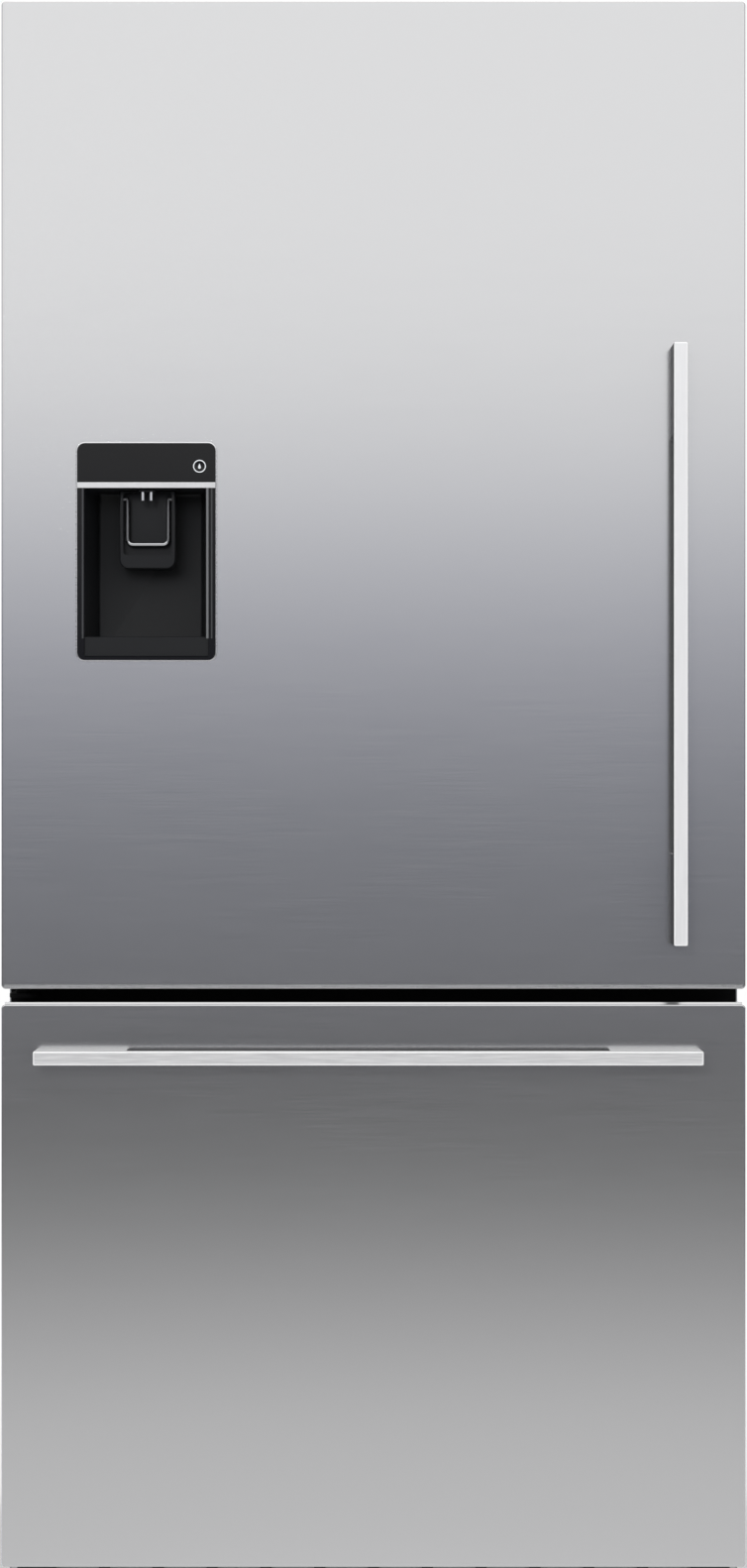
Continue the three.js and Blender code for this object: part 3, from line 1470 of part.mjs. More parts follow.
// The push button: a low disc in the bezel, with a flange behind that keeps it in.
function dispenserButton() {
  const stand = 0.6;
  const flangeY = [frontY, frontY + 1.5];
  return join(
    rodY(buttonRadius, 0, [bezelY[0] - stand, flangeY[1]], 0, 24),
    rodY(buttonFlange, 0, flangeY, 0, 24),
    rodY(4, 0, [flangeY[1] - 0.5, flangeY[1] + 5], 0, 12),
  );
}

add(dispenser, 'dispenser_button', dispenserButton(), glossBlack(), [buttonX, 0, buttonZ]);

const housingHeight = 83;
const housingFrontY = frontY + 36;
const housingRadius = 9.5;
const housingZ = [recessCeilingZ - fit - housingHeight, recessCeilingZ - fit];
const housingX = dispenserX - 1;
const leverHalfWidth = 22;
const leverRodRadius = 2.4;
const leverPivotY = housingFrontY + 8;
const leverPivotZ = housingZ[1] - 8;
const leverDrop = 49; // pivot to the middle of the lever's crossbar
const leverSideGap = 1.6;
const leverStub = 2.4; // lever's ends into the housing's cheeks
const pocketHalfWidth = leverHalfWidth + leverRodRadius + leverSideGap;
const pocketDepth = 24;
const cheekWidth = 4;
const housingWidth = 2 * (pocketHalfWidth + cheekWidth);

// The spout housing: rounded below, with a deep pocket for the lever and a bore in each cheek for its ends.
function spoutHousing() {
  const x = centred(housingX, housingWidth);
  const shape = new THREE.Shape();
  shape.moveTo(x[0], housingZ[1]);
  shape.lineTo(x[0], housingZ[0] + housingRadius);
  shape.absarc(x[0] + housingRadius, housingZ[0] + housingRadius, housingRadius, Math.PI, 1.5 * Math.PI);
  shape.lineTo(x[1] - housingRadius, housingZ[0]);
  shape.absarc(x[1] - housingRadius, housingZ[0] + housingRadius, housingRadius, -0.5 * Math.PI, 0);
  shape.lineTo(x[1], housingZ[1]);
  shape.closePath();
  const body = frontExtrude(shape, housingFrontY, recessInnerBackY - fit, 3);
  const pocketX = centred(housingX, 2 * pocketHalfWidth);
  const pocketShape = roundedRectangle(pocketX, [housingZ[0] + 14, housingZ[1] - 1.5], 4);
  const pocket = frontExtrude(pocketShape, housingFrontY - beyond, housingFrontY + pocketDepth);
  const boreX = centred(housingX, 2 * (pocketHalfWidth + leverStub + 2 * fit));
  const bore = rodX(leverRodRadius + fit, boreX, leverPivotY, leverPivotZ);
  return cut(body, pocket, bore);
}

add(dispenser, 'spout_housing', spoutHousing(), satinBlack());

// The lever: one bent rod, a U with its ends turned out into the housing's cheeks.
function dispenserLever() {
  const bendRadius = 5;
  const across = new THREE.Vector3(1, 0, 0);
  const up = new THREE.Vector3(0, 0, 1);
  const stubReach = pocketHalfWidth + leverStub;
  const at = (x, z) => new THREE.Vector3(x, 0, z);
  const corner = (x, z, from, to) => arcPoints(at(x, z), bendRadius, across, up, from, to, 4);
  const left = -leverHalfWidth;
  const right = leverHalfWidth;
  const r = bendRadius;
  const quarter = Math.PI / 2;
  const points = [
    at(-stubReach, 0),
    at(left, -0.4),
    at(left, -leverDrop + r),
    ...corner(left + r, -leverDrop + r, 2 * quarter, 3 * quarter),
    at(left + r, -leverDrop),
    at(right - r, -leverDrop),
    ...corner(right - r, -leverDrop + r, -quarter, 0),
    at(right, -leverDrop + r),
    at(right, -0.4),
    at(stubReach, 0),
  ];
  return bentTube(points, leverRodRadius, 10);
}

add(dispenser, 'dispenser_lever', dispenserLever(), handleMetal(), [housingX, leverPivotY, leverPivotZ]);

const nozzlePitch = 9;
const nozzleRadius = 2.1;
const nozzleY = frontY + 18;
const nozzleX = dispenserX - 0.5;

function dispenserNozzle() {
  const top = recessCeilingZ - fit;
  const bridge = box(centred(nozzleX, nozzlePitch + 8), centred(nozzleY, 12), [top - 2.5, top]);
  const tubes = [-0.5, 0.5].map((place) => {
    return rodZ(nozzleRadius, nozzleX + place * nozzlePitch, nozzleY, [top - 12, top - 1], 14);
  });
  return join(bridge, ...tubes);
}

add(dispenser, 'dispenser_nozzle', dispenserNozzle(), handleMetal());

const trayHeight = 21;
const trayDepth = 54;
const trayWall = 2.2;
const trayBar = 2.8;
const trayCarrierX = 26;

// The drip tray follows the recess's sides, with bars across its top.
function dripTray() {
  const slope = recessDraft / recessDepth;
  const half = recessWidth / 2 - recessWall - fit;
  const outline = (inset) => polygon([
    [dispenserX - half + inset, frontY + inset],
    [dispenserX + half - inset, frontY + inset],
    [dispenserX + half - trayDepth * slope - inset, frontY + trayDepth - inset],
    [dispenserX - half + trayDepth * slope + inset, frontY + trayDepth - inset],
  ]);
  const z = [recessFloorZ + fit, recessFloorZ + fit + trayHeight];
  const hollow = planExtrude(outline(trayWall), z[0] + trayWall, z[1] + beyond);
  const tray = cut(planExtrude(outline(0), ...z), hollow);
  const bars = [1, 2, 3, 4, 5].map((number) => {
    const y = centred(frontY + number * trayDepth / 6, trayBar);
    return box(centred(dispenserX, 2 * half - 16), y, [z[1] - 4, z[1] - 4 + trayBar]);
  });
  const carriers = [-1, 1].map((place) => {
    const carrierX = centred(dispenserX + place * trayCarrierX, trayWall);
    return box(carrierX, [frontY + 1, frontY + trayDepth - 1], [z[1] - 6, z[1] - 3]);
  });
  return join(tray, ...bars, ...carriers);
}

add(dispenser, 'drip_tray', dripTray(), satinBlack());

// ---------- Freezer drawer ----------

const drawerZ = [drawerBottomZ, drawerTopZ];
const runnerRise = 38; // runner's middle above the raised freezer floor
const runnerZ = freezerShelfZ + runnerRise;
const runnerFrontY = cabinetFrontY + 9;
const runnerBackY = evaporatorCoverY - 10;
const runnerHeight = 45;
const runnerDepth = 12;
const runnerWall = 1.5;
const raceGap = 0.6; // where the balls run, between two members
const cradleReach = 16;
const binShoulderZ = runnerZ - 16.7;

add(drawer, 'drawer_panel', frontPan(doorX, drawerZ), stainless());

function drawerInner() {
  const panelX = grow([-halfClear, halfClear], -54);
  const panelZ = [freezerClear[0] + 20, freezerClear[1] - 20];
  const panel = frontExtrude(roundedRectangle(panelX, panelZ, 14), doorBackY - 1, doorBackY + 6);
  return join(frontCore(doorX, drawerZ), panel);
}

add(drawer, 'drawer_inner', drawerInner(), whitePlastic());

const freezerGasketZ = [frontRailTopZ - 6, rail[0] - 2];
add(drawer, 'drawer_gasket', gasket([-gasketSideX, gasketSideX], freezerGasketZ), softGrey());
add(drawer, 'drawer_handle', drawerHandle(), handleMetal());

// A folded channel seen from the front: web on the far side, two flanges towards the near side.
function channel(side, x, height, wall, opensInwards) {
  const z = centred(runnerZ, height);
  const [near, far] = x;
  const web = opensInwards ? far : near;
  const tip = opensInwards ? near : far;
  const step = opensInwards ? -wall : wall;
  const points = [
    [web, z[0]],
    [tip, z[0]],
    [tip, z[0] + wall],
    [web + step, z[0] + wall],
    [web + step, z[1] - wall],
    [tip, z[1] - wall],
    [tip, z[1]],
    [web, z[1]],
  ].map(([across, up]) => [across * side, up]);
  const clockwise = (side > 0) === opensInwards;
  return polygon(clockwise ? points.reverse() : points);
}

const runnerX = [halfClear - fit - runnerDepth, halfClear - fit];
const middleX = [runnerX[0], runnerX[1] - runnerWall - 2];
const middleHeight = runnerHeight - 2 * (runnerWall + raceGap);
const memberWall = 1.4;
const memberX = [runnerX[0] - 1.1, middleX[1] - memberWall - 1.8];
const memberHeight = middleHeight - 2 * (memberWall + raceGap);

function fixedRunner(side) {
  return frontExtrude(channel(side, runnerX, runnerHeight, runnerWall, true), runnerFrontY, runnerBackY);
}

function middleRunner(side) {
  return frontExtrude(channel(side, middleX, middleHeight, memberWall, true), runnerFrontY, runnerBackY);
}

// The drawer's own member carries a cradle for the bin and a bracket that meets the drawer's inner face.
function drawerRunner(side) {
  const bracketY = [doorBackY + fit, doorBackY + fit + 3];
  const section = channel(side, memberX, memberHeight, memberWall, false);
  const member = frontExtrude(section, bracketY[0], runnerBackY - 4);
  const cradleX = onSide(side, memberX[0] - cradleReach, memberX[0] + 1);
  const cradleTopZ = binShoulderZ - fit;
  const cradle = box(cradleX, [bracketY[0], freezerBinY[1]], [cradleTopZ - memberWall, cradleTopZ]);
  const bracketX = onSide(side, memberX[0] - 26, memberX[0] + memberWall);
  const bracketZ = [binShoulderZ - 34, runnerZ + 46];
  return join(member, cradle, box(bracketX, bracketY, bracketZ));
}

const freezerBinY = [doorBackY + 14, freezerStepY - 12.7];
const freezerBinZ = [freezerClear[0] + 7.5, runnerZ + 80];
const halfBin = memberX[0] - 1;
const shoulder = 15.5;

for (const [name, side] of [['left', -1], ['right', 1]]) {
  add(cabinet, `runner_fixed_${name}`, fixedRunner(side), zincSteel());
  add(drawer, `runner_middle_${name}`, middleRunner(side), zincSteel());
  add(drawer, `runner_drawer_${name}`, drawerRunner(side), zincSteel());
}

// The bin hangs by its shoulders on the cradles; below them its sides draw in.
function freezerBin() {
  const full = [-halfBin, halfBin];
  const slim = grow(full, -shoulder);
  const y = freezerBinY;
  const w = binWall;
  const narrow = grow(slim, -12);
  const shortY = grow(y, -8);
  return loft([
    ring(narrow, shortY, 14, freezerBinZ[0]),
    ring(slim, y, 14, binShoulderZ),
    ring(full, y, 14, binShoulderZ + 1.5),
    ring(full, y, 14, freezerBinZ[1]),
    ring(grow(full, -w), grow(y, -w), 13, freezerBinZ[1]),
    ring(grow(full, -w), grow(y, -w), 13, binShoulderZ + 1.5 + w),
    ring(grow(slim, -w), grow(y, -w), 13, binShoulderZ + w),
    ring(grow(narrow, -w), grow(shortY, -w), 13, freezerBinZ[0] + w),
  ]);
}

add(drawer, 'freezer_bin', freezerBin(), whitePlastic());

const trayWidthHalf = halfBin - binWall - 6;
const trayLength = 212;
const trayY = [freezerBinY[1] - 5 - trayLength, freezerBinY[1] - 5];
const trayDropZ = 80;

// The sliding tray hangs in the bin by lips that rest on the bin's side rims.
function freezerTray() {
  const top = freezerBinZ[1] + fit + 2.4;
  const x = [-trayWidthHalf, trayWidthHalf];
  const body = tub(x, trayY, [freezerBinZ[1] - trayDropZ, top], { draft: 4, radius: 12 });
  const lips = [-1, 1].map((side) => {
    return box(onSide(side, trayWidthHalf - 1.2, halfBin), grow(trayY, -14), [freezerBinZ[1] + fit, top]);
  });
  return join(body, ...lips);
}

add(drawer, 'freezer_tray', freezerTray(), whitePlastic());

export default refrigerator;
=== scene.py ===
# The looks of a free-standing refrigerator with a freezer drawer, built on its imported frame.
# +Z up, front towards -Y, +X to the right of someone facing it. The frame is in metres. Lengths here
# are in millimetres unless a comment says metres, and the mesh makers turn them into metres.
import math

import bmesh
import bpy
from bpy.props import FloatProperty, FloatVectorProperty, IntProperty, PointerProperty
from mathutils import Matrix, Vector


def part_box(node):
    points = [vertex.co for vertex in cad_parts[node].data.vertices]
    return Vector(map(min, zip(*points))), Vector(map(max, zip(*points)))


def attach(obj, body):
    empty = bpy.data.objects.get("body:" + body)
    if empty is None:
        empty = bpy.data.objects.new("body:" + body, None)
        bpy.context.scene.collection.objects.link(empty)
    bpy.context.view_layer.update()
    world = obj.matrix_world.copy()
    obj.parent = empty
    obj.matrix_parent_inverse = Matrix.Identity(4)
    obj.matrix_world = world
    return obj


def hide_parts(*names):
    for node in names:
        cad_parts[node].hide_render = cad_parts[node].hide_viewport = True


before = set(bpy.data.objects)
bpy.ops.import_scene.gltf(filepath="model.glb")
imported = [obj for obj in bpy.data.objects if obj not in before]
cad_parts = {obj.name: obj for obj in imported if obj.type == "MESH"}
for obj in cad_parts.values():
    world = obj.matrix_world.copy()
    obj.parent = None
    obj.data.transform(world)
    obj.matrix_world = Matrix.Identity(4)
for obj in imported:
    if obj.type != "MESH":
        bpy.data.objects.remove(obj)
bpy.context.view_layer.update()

MM = 0.001
# Points closer than this, in metres, are one point. The frame's own meshes need the wider one.
SAME = 1e-7
SAME_IN_FRAME = 2e-6
# How far in a flat face's outermost loop lies, as a share of the rounded edge round it.
FACE_MARGIN = 1.05
BUTTON_RADIUS = 7.35

bl_info = {
    "name": "Bottom freezer refrigerator",
    "version": (1, 0, 0),
    "blender": (4, 5, 0),
    "location": "3D View > Sidebar > Refrigerator",
    "description": "Builds the finished look of a refrigerator on its frame",
    "category": "Object",
}


# ---------- Colours, nodes and materials ----------


def colour(code):
    """An sRGB hex colour as linear red, green, blue and alpha."""
    channels = [int(code[i : i + 2], 16) / 255 for i in (1, 3, 5)]
    return (*[c / 12.92 if c <= 0.04045 else ((c + 0.055) / 1.055) ** 2.4 for c in channels], 1.0)


def add(tree, kind, inputs=None, **settings):
    """Adds one node. An input is a plain value, an output socket or a node's first output."""
    node = tree.nodes.new(kind)
    for key, value in settings.items():
        setattr(node, key, value)
    for key, value in (inputs or {}).items():
        if isinstance(value, bpy.types.Node):
            value = value.outputs[0]
        if isinstance(value, bpy.types.NodeSocket):
            tree.links.new(value, node.inputs[key])
        else:
            node.inputs[key].default_value = value
    return node


def emptied(owner):
    """The node tree of a material or a world, without the nodes it starts with."""
    owner.use_nodes = True
    owner.node_tree.nodes.clear()
    return owner.node_tree


def surface(name, base, roughness, metallic, cell, depth, spread, shade, shader=None):
    """A finish whose relief, gloss and tone all follow one noise pattern.

    cell is the pattern's size along x, y and z, or one size for all three, and depth its relief.
    spread is how far the roughness swings, and shade how far the tone does.
    """
    material = bpy.data.materials.new(name)
    tree = emptied(material)
    cells = cell if isinstance(cell, tuple) else (cell, cell, cell)
    scale = tuple(1 / (size * MM) for size in cells)
    place = add(tree, "ShaderNodeTexCoord").outputs["Object"]
    mapped = add(tree, "ShaderNodeMapping", {"Vector": place, "Scale": scale})
    grain = {"Vector": mapped, "Scale": 1.0, "Detail": 3.0, "Roughness": 0.55}
    noise = add(tree, "ShaderNodeTexNoise", grain)
    least, most = max(roughness - spread, 0.02), min(roughness + spread, 1.0)
    swing = {"Value": noise, "From Min": 0.25, "From Max": 0.75, "To Min": least, "To Max": most}
    rough = add(tree, "ShaderNodeMapRange", swing)
    dark = (*[c * (1 - shade) for c in base[:3]], 1.0)
    light = (*[min(c * (1 + shade), 1.0) for c in base[:3]], 1.0)
    tone = add(tree, "ShaderNodeMixRGB", {"Fac": noise, "Color1": dark, "Color2": light})
    bump = add(tree, "ShaderNodeBump", {"Height": noise, "Distance": depth * MM, "Strength": 1.0})
    inputs = {"Base Color": tone, "Roughness": rough, "Metallic": metallic, "Normal": bump, **(shader or {})}
    body = add(tree, "ShaderNodeBsdfPrincipled", inputs)
    add(tree, "ShaderNodeOutputMaterial", {"Surface": body})
    return material


LOW_SHINE = {"Specular IOR Level": 0.28}
# Every finish by its key: name, colour, roughness, metallic, cell, depth, spread, shade, and other
# shader values. A colour without # is one of the panel's colours.
LOOKS = {
    # Stainless steel, belt-brushed from side to side: long fine streaks blur reflections upwards.
    # Real scratches are about 0.05 mm apart, drawn here at 0.7 mm so that they show.
    "steel": ("brushed_stainless_steel", "steel", 0.15, 0.94, (70, 4, 0.7), 0.00035, 0.02, 0.015),
    # Satin anodised aluminium bars, brushed along their length.
    "bar_upright": ("satin_aluminium_upright", "#f6f6f7", 0.42, 0.7, (2, 2, 40), 0.004, 0.06, 0.05),
    "bar_level": ("satin_aluminium_level", "#f0f0f2", 0.42, 0.72, (40, 1.6, 1.6), 0.004, 0.06, 0.42),
    # The bars' sides and undersides: a darker, duller aluminium, painted shade beside and under the bars.
    "bar_painted_shade": ("drawn_aluminium_side", "#565759", 0.5, 1.0, 3, 0.004, 0.06, 0.05),
    # Their rounded front edges: a brighter aluminium, a painted highlight.
    "bar_painted_highlight": ("cut_aluminium_edge", "#fdfdfd", 0.5, 0.45, 2, 0.002, 0.04, 0.02),
    # Baked powder paint: fine orange peel, about 1.5 mm from crest to crest.
    "paint": ("powder_paint", "cabinet", 0.42, 0.0, 1.6, 0.03, 0.05, 0.03),
    # Hot-dip zinc: soft spangle patches 12 mm wide, half dull.
    "zinc": ("galvanised_steel", "#b4b7b8", 0.42, 0.9, 12, 0.01, 0.12, 0.12),
    # Black dip paint over steel.
    "black_paint": ("black_dip_paint", "#141517", 0.38, 0.0, 4, 0.03, 0.08, 0.1),
    # Polished black acrylic: flat and mirror smooth but for a faint slow waviness.
    "gloss_black": ("polished_black_acrylic", "#0b0b0d", 0.07, 0.0, 40, 0.002, 0.02, 0.05, LOW_SHINE),
    # Moulded black ABS with a fine spark-eroded grain of about 0.8 mm.
    "black_plastic": ("grained_black_abs", "#17181a", 0.42, 0.0, 0.8, 0.02, 0.08, 0.08),
    # Dark grey ABS of the dispenser's cavity, a little smoother.
    "cavity": ("smooth_dark_abs", "#18191b", 0.4, 0.0, 1.2, 0.008, 0.06, 0.06, LOW_SHINE),
    # Vacuum-formed polystyrene liner: semi-gloss, with a slow waviness from forming.
    "liner": ("formed_white_polystyrene", "plastic", 0.32, 0.0, 35, 0.05, 0.04, 0.012),
    # Moulded white ABS, slightly glossier and finer.
    "white_plastic": ("moulded_white_abs", "#f0f1f2", 0.28, 0.0, 6, 0.01, 0.05, 0.012),
    # Clear polystyrene bins: faint blue tint, slight waviness from the mould.
    "clear": ("clear_polystyrene", "#e9eff3", 0.08, 0.0, 25, 0.02, 0.03, 0.01, {"Alpha": 0.34, "IOR": 1.5}),
    # Tempered soda-lime glass shelf, faint green.
    "glass": ("tempered_glass", "#d5e9df", 0.04, 0.0, 60, 0.004, 0.02, 0.01, {"Alpha": 0.3, "IOR": 1.5}),
    # Extruded soft PVC gasket: dull, with a faint skin.
    "gasket": ("soft_pvc_gasket", "#5c5e61", 0.62, 0.0, 3, 0.03, 0.08, 0.06),
    # Rigid polyurethane foam: coarse pale cells.
    "foam": ("polyurethane_foam", "#dccf9c", 0.85, 0.0, 2.5, 0.3, 0.1, 0.12),
    # Rolled aluminium fins and trims.
    "aluminium": ("rolled_aluminium", "#d6d8da", 0.3, 1.0, (30, 3, 1.5), 0.003, 0.08, 0.05),
    # Bright chromium plate, on the nozzles and the lever.
    "chrome": ("chromium_plate", "#d6d7d9", 0.07, 1.0, 20, 0.002, 0.02, 0.02),
    # Moulded nylon: levelling feet, rollers and fans.
    "nylon": ("black_nylon", "#1e1f21", 0.5, 0.0, 1.5, 0.03, 0.08, 0.08),
    # Glossy dark grey ABS of the spout's housing.
    "housing": ("glossy_dark_abs", "#161719", 0.2, 0.0, 30, 0.004, 0.04, 0.05, LOW_SHINE),
    # Black paint deep in the gap between the fronts, made near black and almost without shine: the paint's
    # own black with the gap's shade painted in.
    "matt_black": ("matt_black_paint", "#060607", 0.7, 0.0, 4, 0.02, 0.08, 0.1, {"Specular IOR Level": 0.1}),
    # Grey metal: the brighter painted highlight on the black face's window edge, and painted shade in the
    # door's groove and on the lever's legs.
    "edge": ("dull_anodised_edge", "#8b8c8e", 0.4, 1.0, (2, 2, 30), 0.002, 0.08, 0.05),
    # Opal polycarbonate lens of the lamp.
    "opal": ("opal_polycarbonate", "#fafbfb", 0.3, 0.0, 5, 0.01, 0.05, 0.005),
    # Bright rolled metal of the door's bottom strip and the dispenser's rim.
    "strip": ("bright_rolled_strip", "#e2e2e4", 0.28, 1.0, (40, 3, 0.8), 0.001, 0.04, 0.02),
    # Bright aluminium of the dispenser's cross band, with slow random changes of tone that are a painted
    # reflection.
    "band": ("bright_dipped_aluminium", "#eeeef0", 0.36, 0.75, (55, 8, 8), 0.002, 0.05, 0.3),
    # A dimmer grey metal: the window's other painted edge highlights, dimmed.
    "edge_dark": ("dark_anodised_edge", "#5b5c5e", 0.4, 1.0, (2, 2, 30), 0.002, 0.08, 0.05),
    # Rubber of the compressor's mounts.
    "rubber": ("black_rubber", "#1b1b1c", 0.7, 0.0, 2, 0.04, 0.08, 0.1),
    # Copper tube, slightly tarnished.
    "copper": ("tarnished_copper", "#b5724a", 0.3, 1.0, 9, 0.005, 0.1, 0.18),
    # Pale grey print of the button's ring.
    "print": ("pale_grey_print", "#d3d6da", 0.5, 0.0, 0.5, 0.002, 0.05, 0.04),
}
# The frame's nodes that each finish covers.
NODE_LOOKS = {
    "steel": "door_panel drawer_panel",
    "bar_upright": "door_handle",
    "bar_level": "drawer_handle",
    "paint": "cabinet_wrapper rear_panel",
    "zinc": "base_frame hinge_top runner_fixed_left runner_fixed_right runner_middle_left "
    "runner_middle_right runner_drawer_left runner_drawer_right",
    # Painted shade: the parts seen in the gap between the fronts are made near black.
    "matt_black": "mullion_rail hinge_middle",
    "black_paint": "compressor condenser_coil",
    "gloss_black": "dispenser_bezel dispenser_button",
    "cavity": "dispenser_recess spout_housing drip_tray",
    "black_plastic": "base_grille machine_cover condenser_fan_mount drain_pan hinge_top_cover",
    "nylon": "condenser_fan evaporator_fan foot_front_left foot_front_right "
    "roller_rear_left roller_rear_right",
    "liner": "fridge_liner freezer_liner door_inner drawer_inner",
    "white_plastic": "evaporator_cover fridge_duct freezer_bin freezer_tray water_filter water_valve",
    "clear": "crisper_left crisper_right crisper_cover lamp_cover "
    "door_bin_upper door_bin_middle door_bin_lower",
    "glass": "shelf_upper shelf_middle",
    "gasket": "door_gasket drawer_gasket",
    "foam": "cabinet_foam",
    "aluminium": "evaporator dispenser_strip",
    "chrome": "dispenser_lever dispenser_nozzle",
}
FINISHES = {}

# What the metal mirrors, as (place, brightness, blueness). The floor's place is its distance from the
# object in metres. The walls' place is their height in the mirrored view, from 0 below the horizon.
FLOOR_LIGHT = (
    (0.4, 0.84, 0), (0.8, 0.775, 0), (1.6, 0.72, 0), (2.6, 0.545, 0), (4.6, 0.208, 0),
    (7.1, 0.058, 0), (9.7, 0.1, 0), (11.6, 0.13, 0), (12.9, 0.16, 1.3), (20.0, 0.14, 1.3),
)
WALL_LIGHT = (
    (0.19, 0.18, 1.3), (0.215, 0.25, 1.3), (0.254, 0.34, 1.3), (0.286, 0.48, 1.2), (0.333, 0.8, 0.5),
    (0.367, 1.05, 0), (0.388, 1.18, 0), (0.433, 1.245, 0), (0.54, 1.17, 0), (0.6, 1.22, 0),
)
# How far out the floor's stops reach, half the floor's width and the camera's place, in metres.
FLOOR_REACH = 24.0
FLOOR_HALF = 60
CAMERA_PLACE = (0, -4.546, 0.875)
# The camera's focal length.
LENS = 91.3


def fill_ramp(ramp, stops, reach):
    """Sets a colour ramp's stops from places, brightnesses and bluenesses."""
    for number, (place, level, blue) in enumerate((stops[0], stops[-1], *stops[1:-1])):
        stop = ramp.elements[number] if number < 2 else ramp.elements.new(place / reach)
        stop.position = place / reach
        stop.color = (level, level * (1 + 0.03 * blue), level * (1 + 0.18 * blue), 1)


def finish(name):
    """A finish by its key, which the finishes operator has made."""
    return FINISHES[name]


# ---------- Meshes and pieces ----------


def spans(node):
    """A frame node's extent along x, y and z."""
    return [(low / MM, high / MM) for low, high in zip(*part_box(node))]


def middle(span):
    """The middle of a span."""
    return (span[0] + span[1]) / 2


def shrunk(span, by):
    """A span drawn in by the same length at both ends."""
    return (span[0] + by, span[1] - by)


def quarter(steps):
    """How a rounded edge stands back from the two flats it joins, as shares of its radius."""
    turns = [step / steps * math.pi / 2 for step in range(steps + 1)]
    return [(1 - math.sin(turn), 1 - math.cos(turn)) for turn in turns]


def circle(x, z, radius, steps):
    """Points round a circle, anticlockwise."""
    turns = [step / steps * 2 * math.pi for step in range(steps)]
    return [(x + radius * math.cos(turn), z + radius * math.sin(turn)) for turn in turns]


def put(obj):
    """Links an object to the scene."""
    bpy.context.scene.collection.objects.link(obj)
    return obj


def piece(name, mesh, look, body, replaces=()):
    """Puts a finished mesh in the scene as a piece that rides on a body of the frame."""
    obj = put(bpy.data.objects.new(name, mesh))
    if look:
        mesh.materials.clear()
        mesh.materials.append(finish(look))
    if replaces:
        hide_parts(*replaces)
    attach(obj, body)
    return obj


def shaded(mesh, angle):
    """Smooth shading that breaks at edges sharper than the angle."""
    mesh.shade_smooth()
    mesh.set_sharp_from_angle(angle=math.radians(angle))
    return mesh


def mesh_from(bm, name, angle=32, recalculate=True):
    """Ends a bmesh as a mesh with outward faces."""
    if recalculate:
        bmesh.ops.recalc_face_normals(bm, faces=bm.faces)
    mesh = bpy.data.meshes.new(name)
    bm.to_mesh(mesh)
    bm.free()
    return shaded(mesh, angle)


def loaded(mesh):
    """A bmesh that holds a mesh."""
    bm = bmesh.new()
    bm.from_mesh(mesh)
    return bm


def evaluated(obj, name):
    """The plain mesh that an object's modifiers make. The object is removed."""
    bpy.context.view_layer.update()
    graph = bpy.context.evaluated_depsgraph_get()
    mesh = bpy.data.meshes.new_from_object(obj.evaluated_get(graph))
    mesh.name = name
    bpy.data.objects.remove(obj)
    return mesh


def softened_mesh(mesh, name, width, segments=2, angle=35, behind=None, clamp=True):
    """A mesh with its sharp edges rounded and its flat faces kept flat.

    behind limits this to the edges that lie further back than that depth, in metres, and clamp keeps
    the rounding narrower than the smallest face beside it.
    """
    obj = put(bpy.data.objects.new(name, mesh))
    mesh.shade_smooth()
    bevel = obj.modifiers.new("edges", "BEVEL")
    bevel.width = width * MM
    bevel.segments = segments
    bevel.harden_normals = True
    bevel.miter_outer = "MITER_ARC"
    bevel.use_clamp_overlap = clamp
    if behind is None:
        bevel.limit_method = "ANGLE"
        bevel.angle_limit = math.radians(angle)
    else:
        bevel.limit_method = "WEIGHT"
        weigh(mesh, math.radians(angle), behind)
    return evaluated(obj, name)


def weigh(mesh, angle, behind):
    """Marks a mesh's sharp edges that lie further back than a depth."""
    bm = loaded(mesh)
    weight = bm.edges.layers.float.new("bevel_weight_edge")
    for edge in bm.edges:
        sharp = len(edge.link_faces) == 2 and edge.calc_face_angle() > angle
        if sharp and min(vert.co.y for vert in edge.verts) > behind:
            edge[weight] = 1
    bm.to_mesh(mesh)
    bm.free()


def softened(node, name, look, body, width, segments=2, angle=35, behind=None):
    """A copy of a frame node with rounded edges, which stands for the node and stays in its box."""
    bm = loaded(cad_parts[node].data)
    bmesh.ops.remove_doubles(bm, verts=bm.verts, dist=SAME_IN_FRAME)
    bmesh.ops.join_triangles(bm, faces=bm.faces, angle_face_threshold=0.005, angle_shape_threshold=math.pi)
    mesh = mesh_from(bm, name, recalculate=False)
    soft = softened_mesh(mesh, name, width, segments, angle, behind, False)
    low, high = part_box(node)
    bm = loaded(soft)
    bmesh.ops.dissolve_degenerate(bm, dist=SAME, edges=bm.edges)
    for vert in bm.verts:
        vert.co = [min(max(value, least), most) for value, least, most in zip(vert.co, low, high)]
    bm.to_mesh(soft)
    bm.free()
    return piece(name, soft, look, body, (node,))


def rounded_loop(across, up, radius, steps=6):
    """Points round a rectangle with rounded corners, anticlockwise."""
    left, right = shrunk(across, radius)
    low, high = shrunk(up, radius)
    points = []
    for centre_a, centre_b, quarters in ((right, low, -1), (right, high, 0), (left, high, 1), (left, low, 2)):
        for step in range(steps + 1):
            turn = (quarters + step / steps) * math.pi / 2
            points.append((centre_a + radius * math.cos(turn), centre_b + radius * math.sin(turn)))
    return points


def upright_ring(x, z, radius, y, steps=6):
    """A rounded rectangle that faces the front, at depth y."""
    return [(a, y, b) for a, b in rounded_loop(x, z, radius, steps)]


def level_ring(x, y, radius, z, steps=6):
    """A rounded rectangle that lies level, at height z."""
    return [(a, b, z) for a, b in rounded_loop(x, y, radius, steps)]


def corner_at(bm, point):
    """A new vertex of a bmesh."""
    return bm.verts.new([value * MM for value in point])


def ring_skin(rings, capped=True):
    """A bmesh skin through rings of as many points each, with flat caps or open ends."""
    bm = bmesh.new()
    loops = [[corner_at(bm, point) for point in ring] for ring in rings]
    for low, high in zip(loops, loops[1:]):
        for i, vert in enumerate(low):
            j = (i + 1) % len(low)
            bm.faces.new((vert, low[j], high[j], high[i]))
    if capped:
        bm.faces.new(loops[0][::-1])
        bm.faces.new(loops[-1])
    return bm


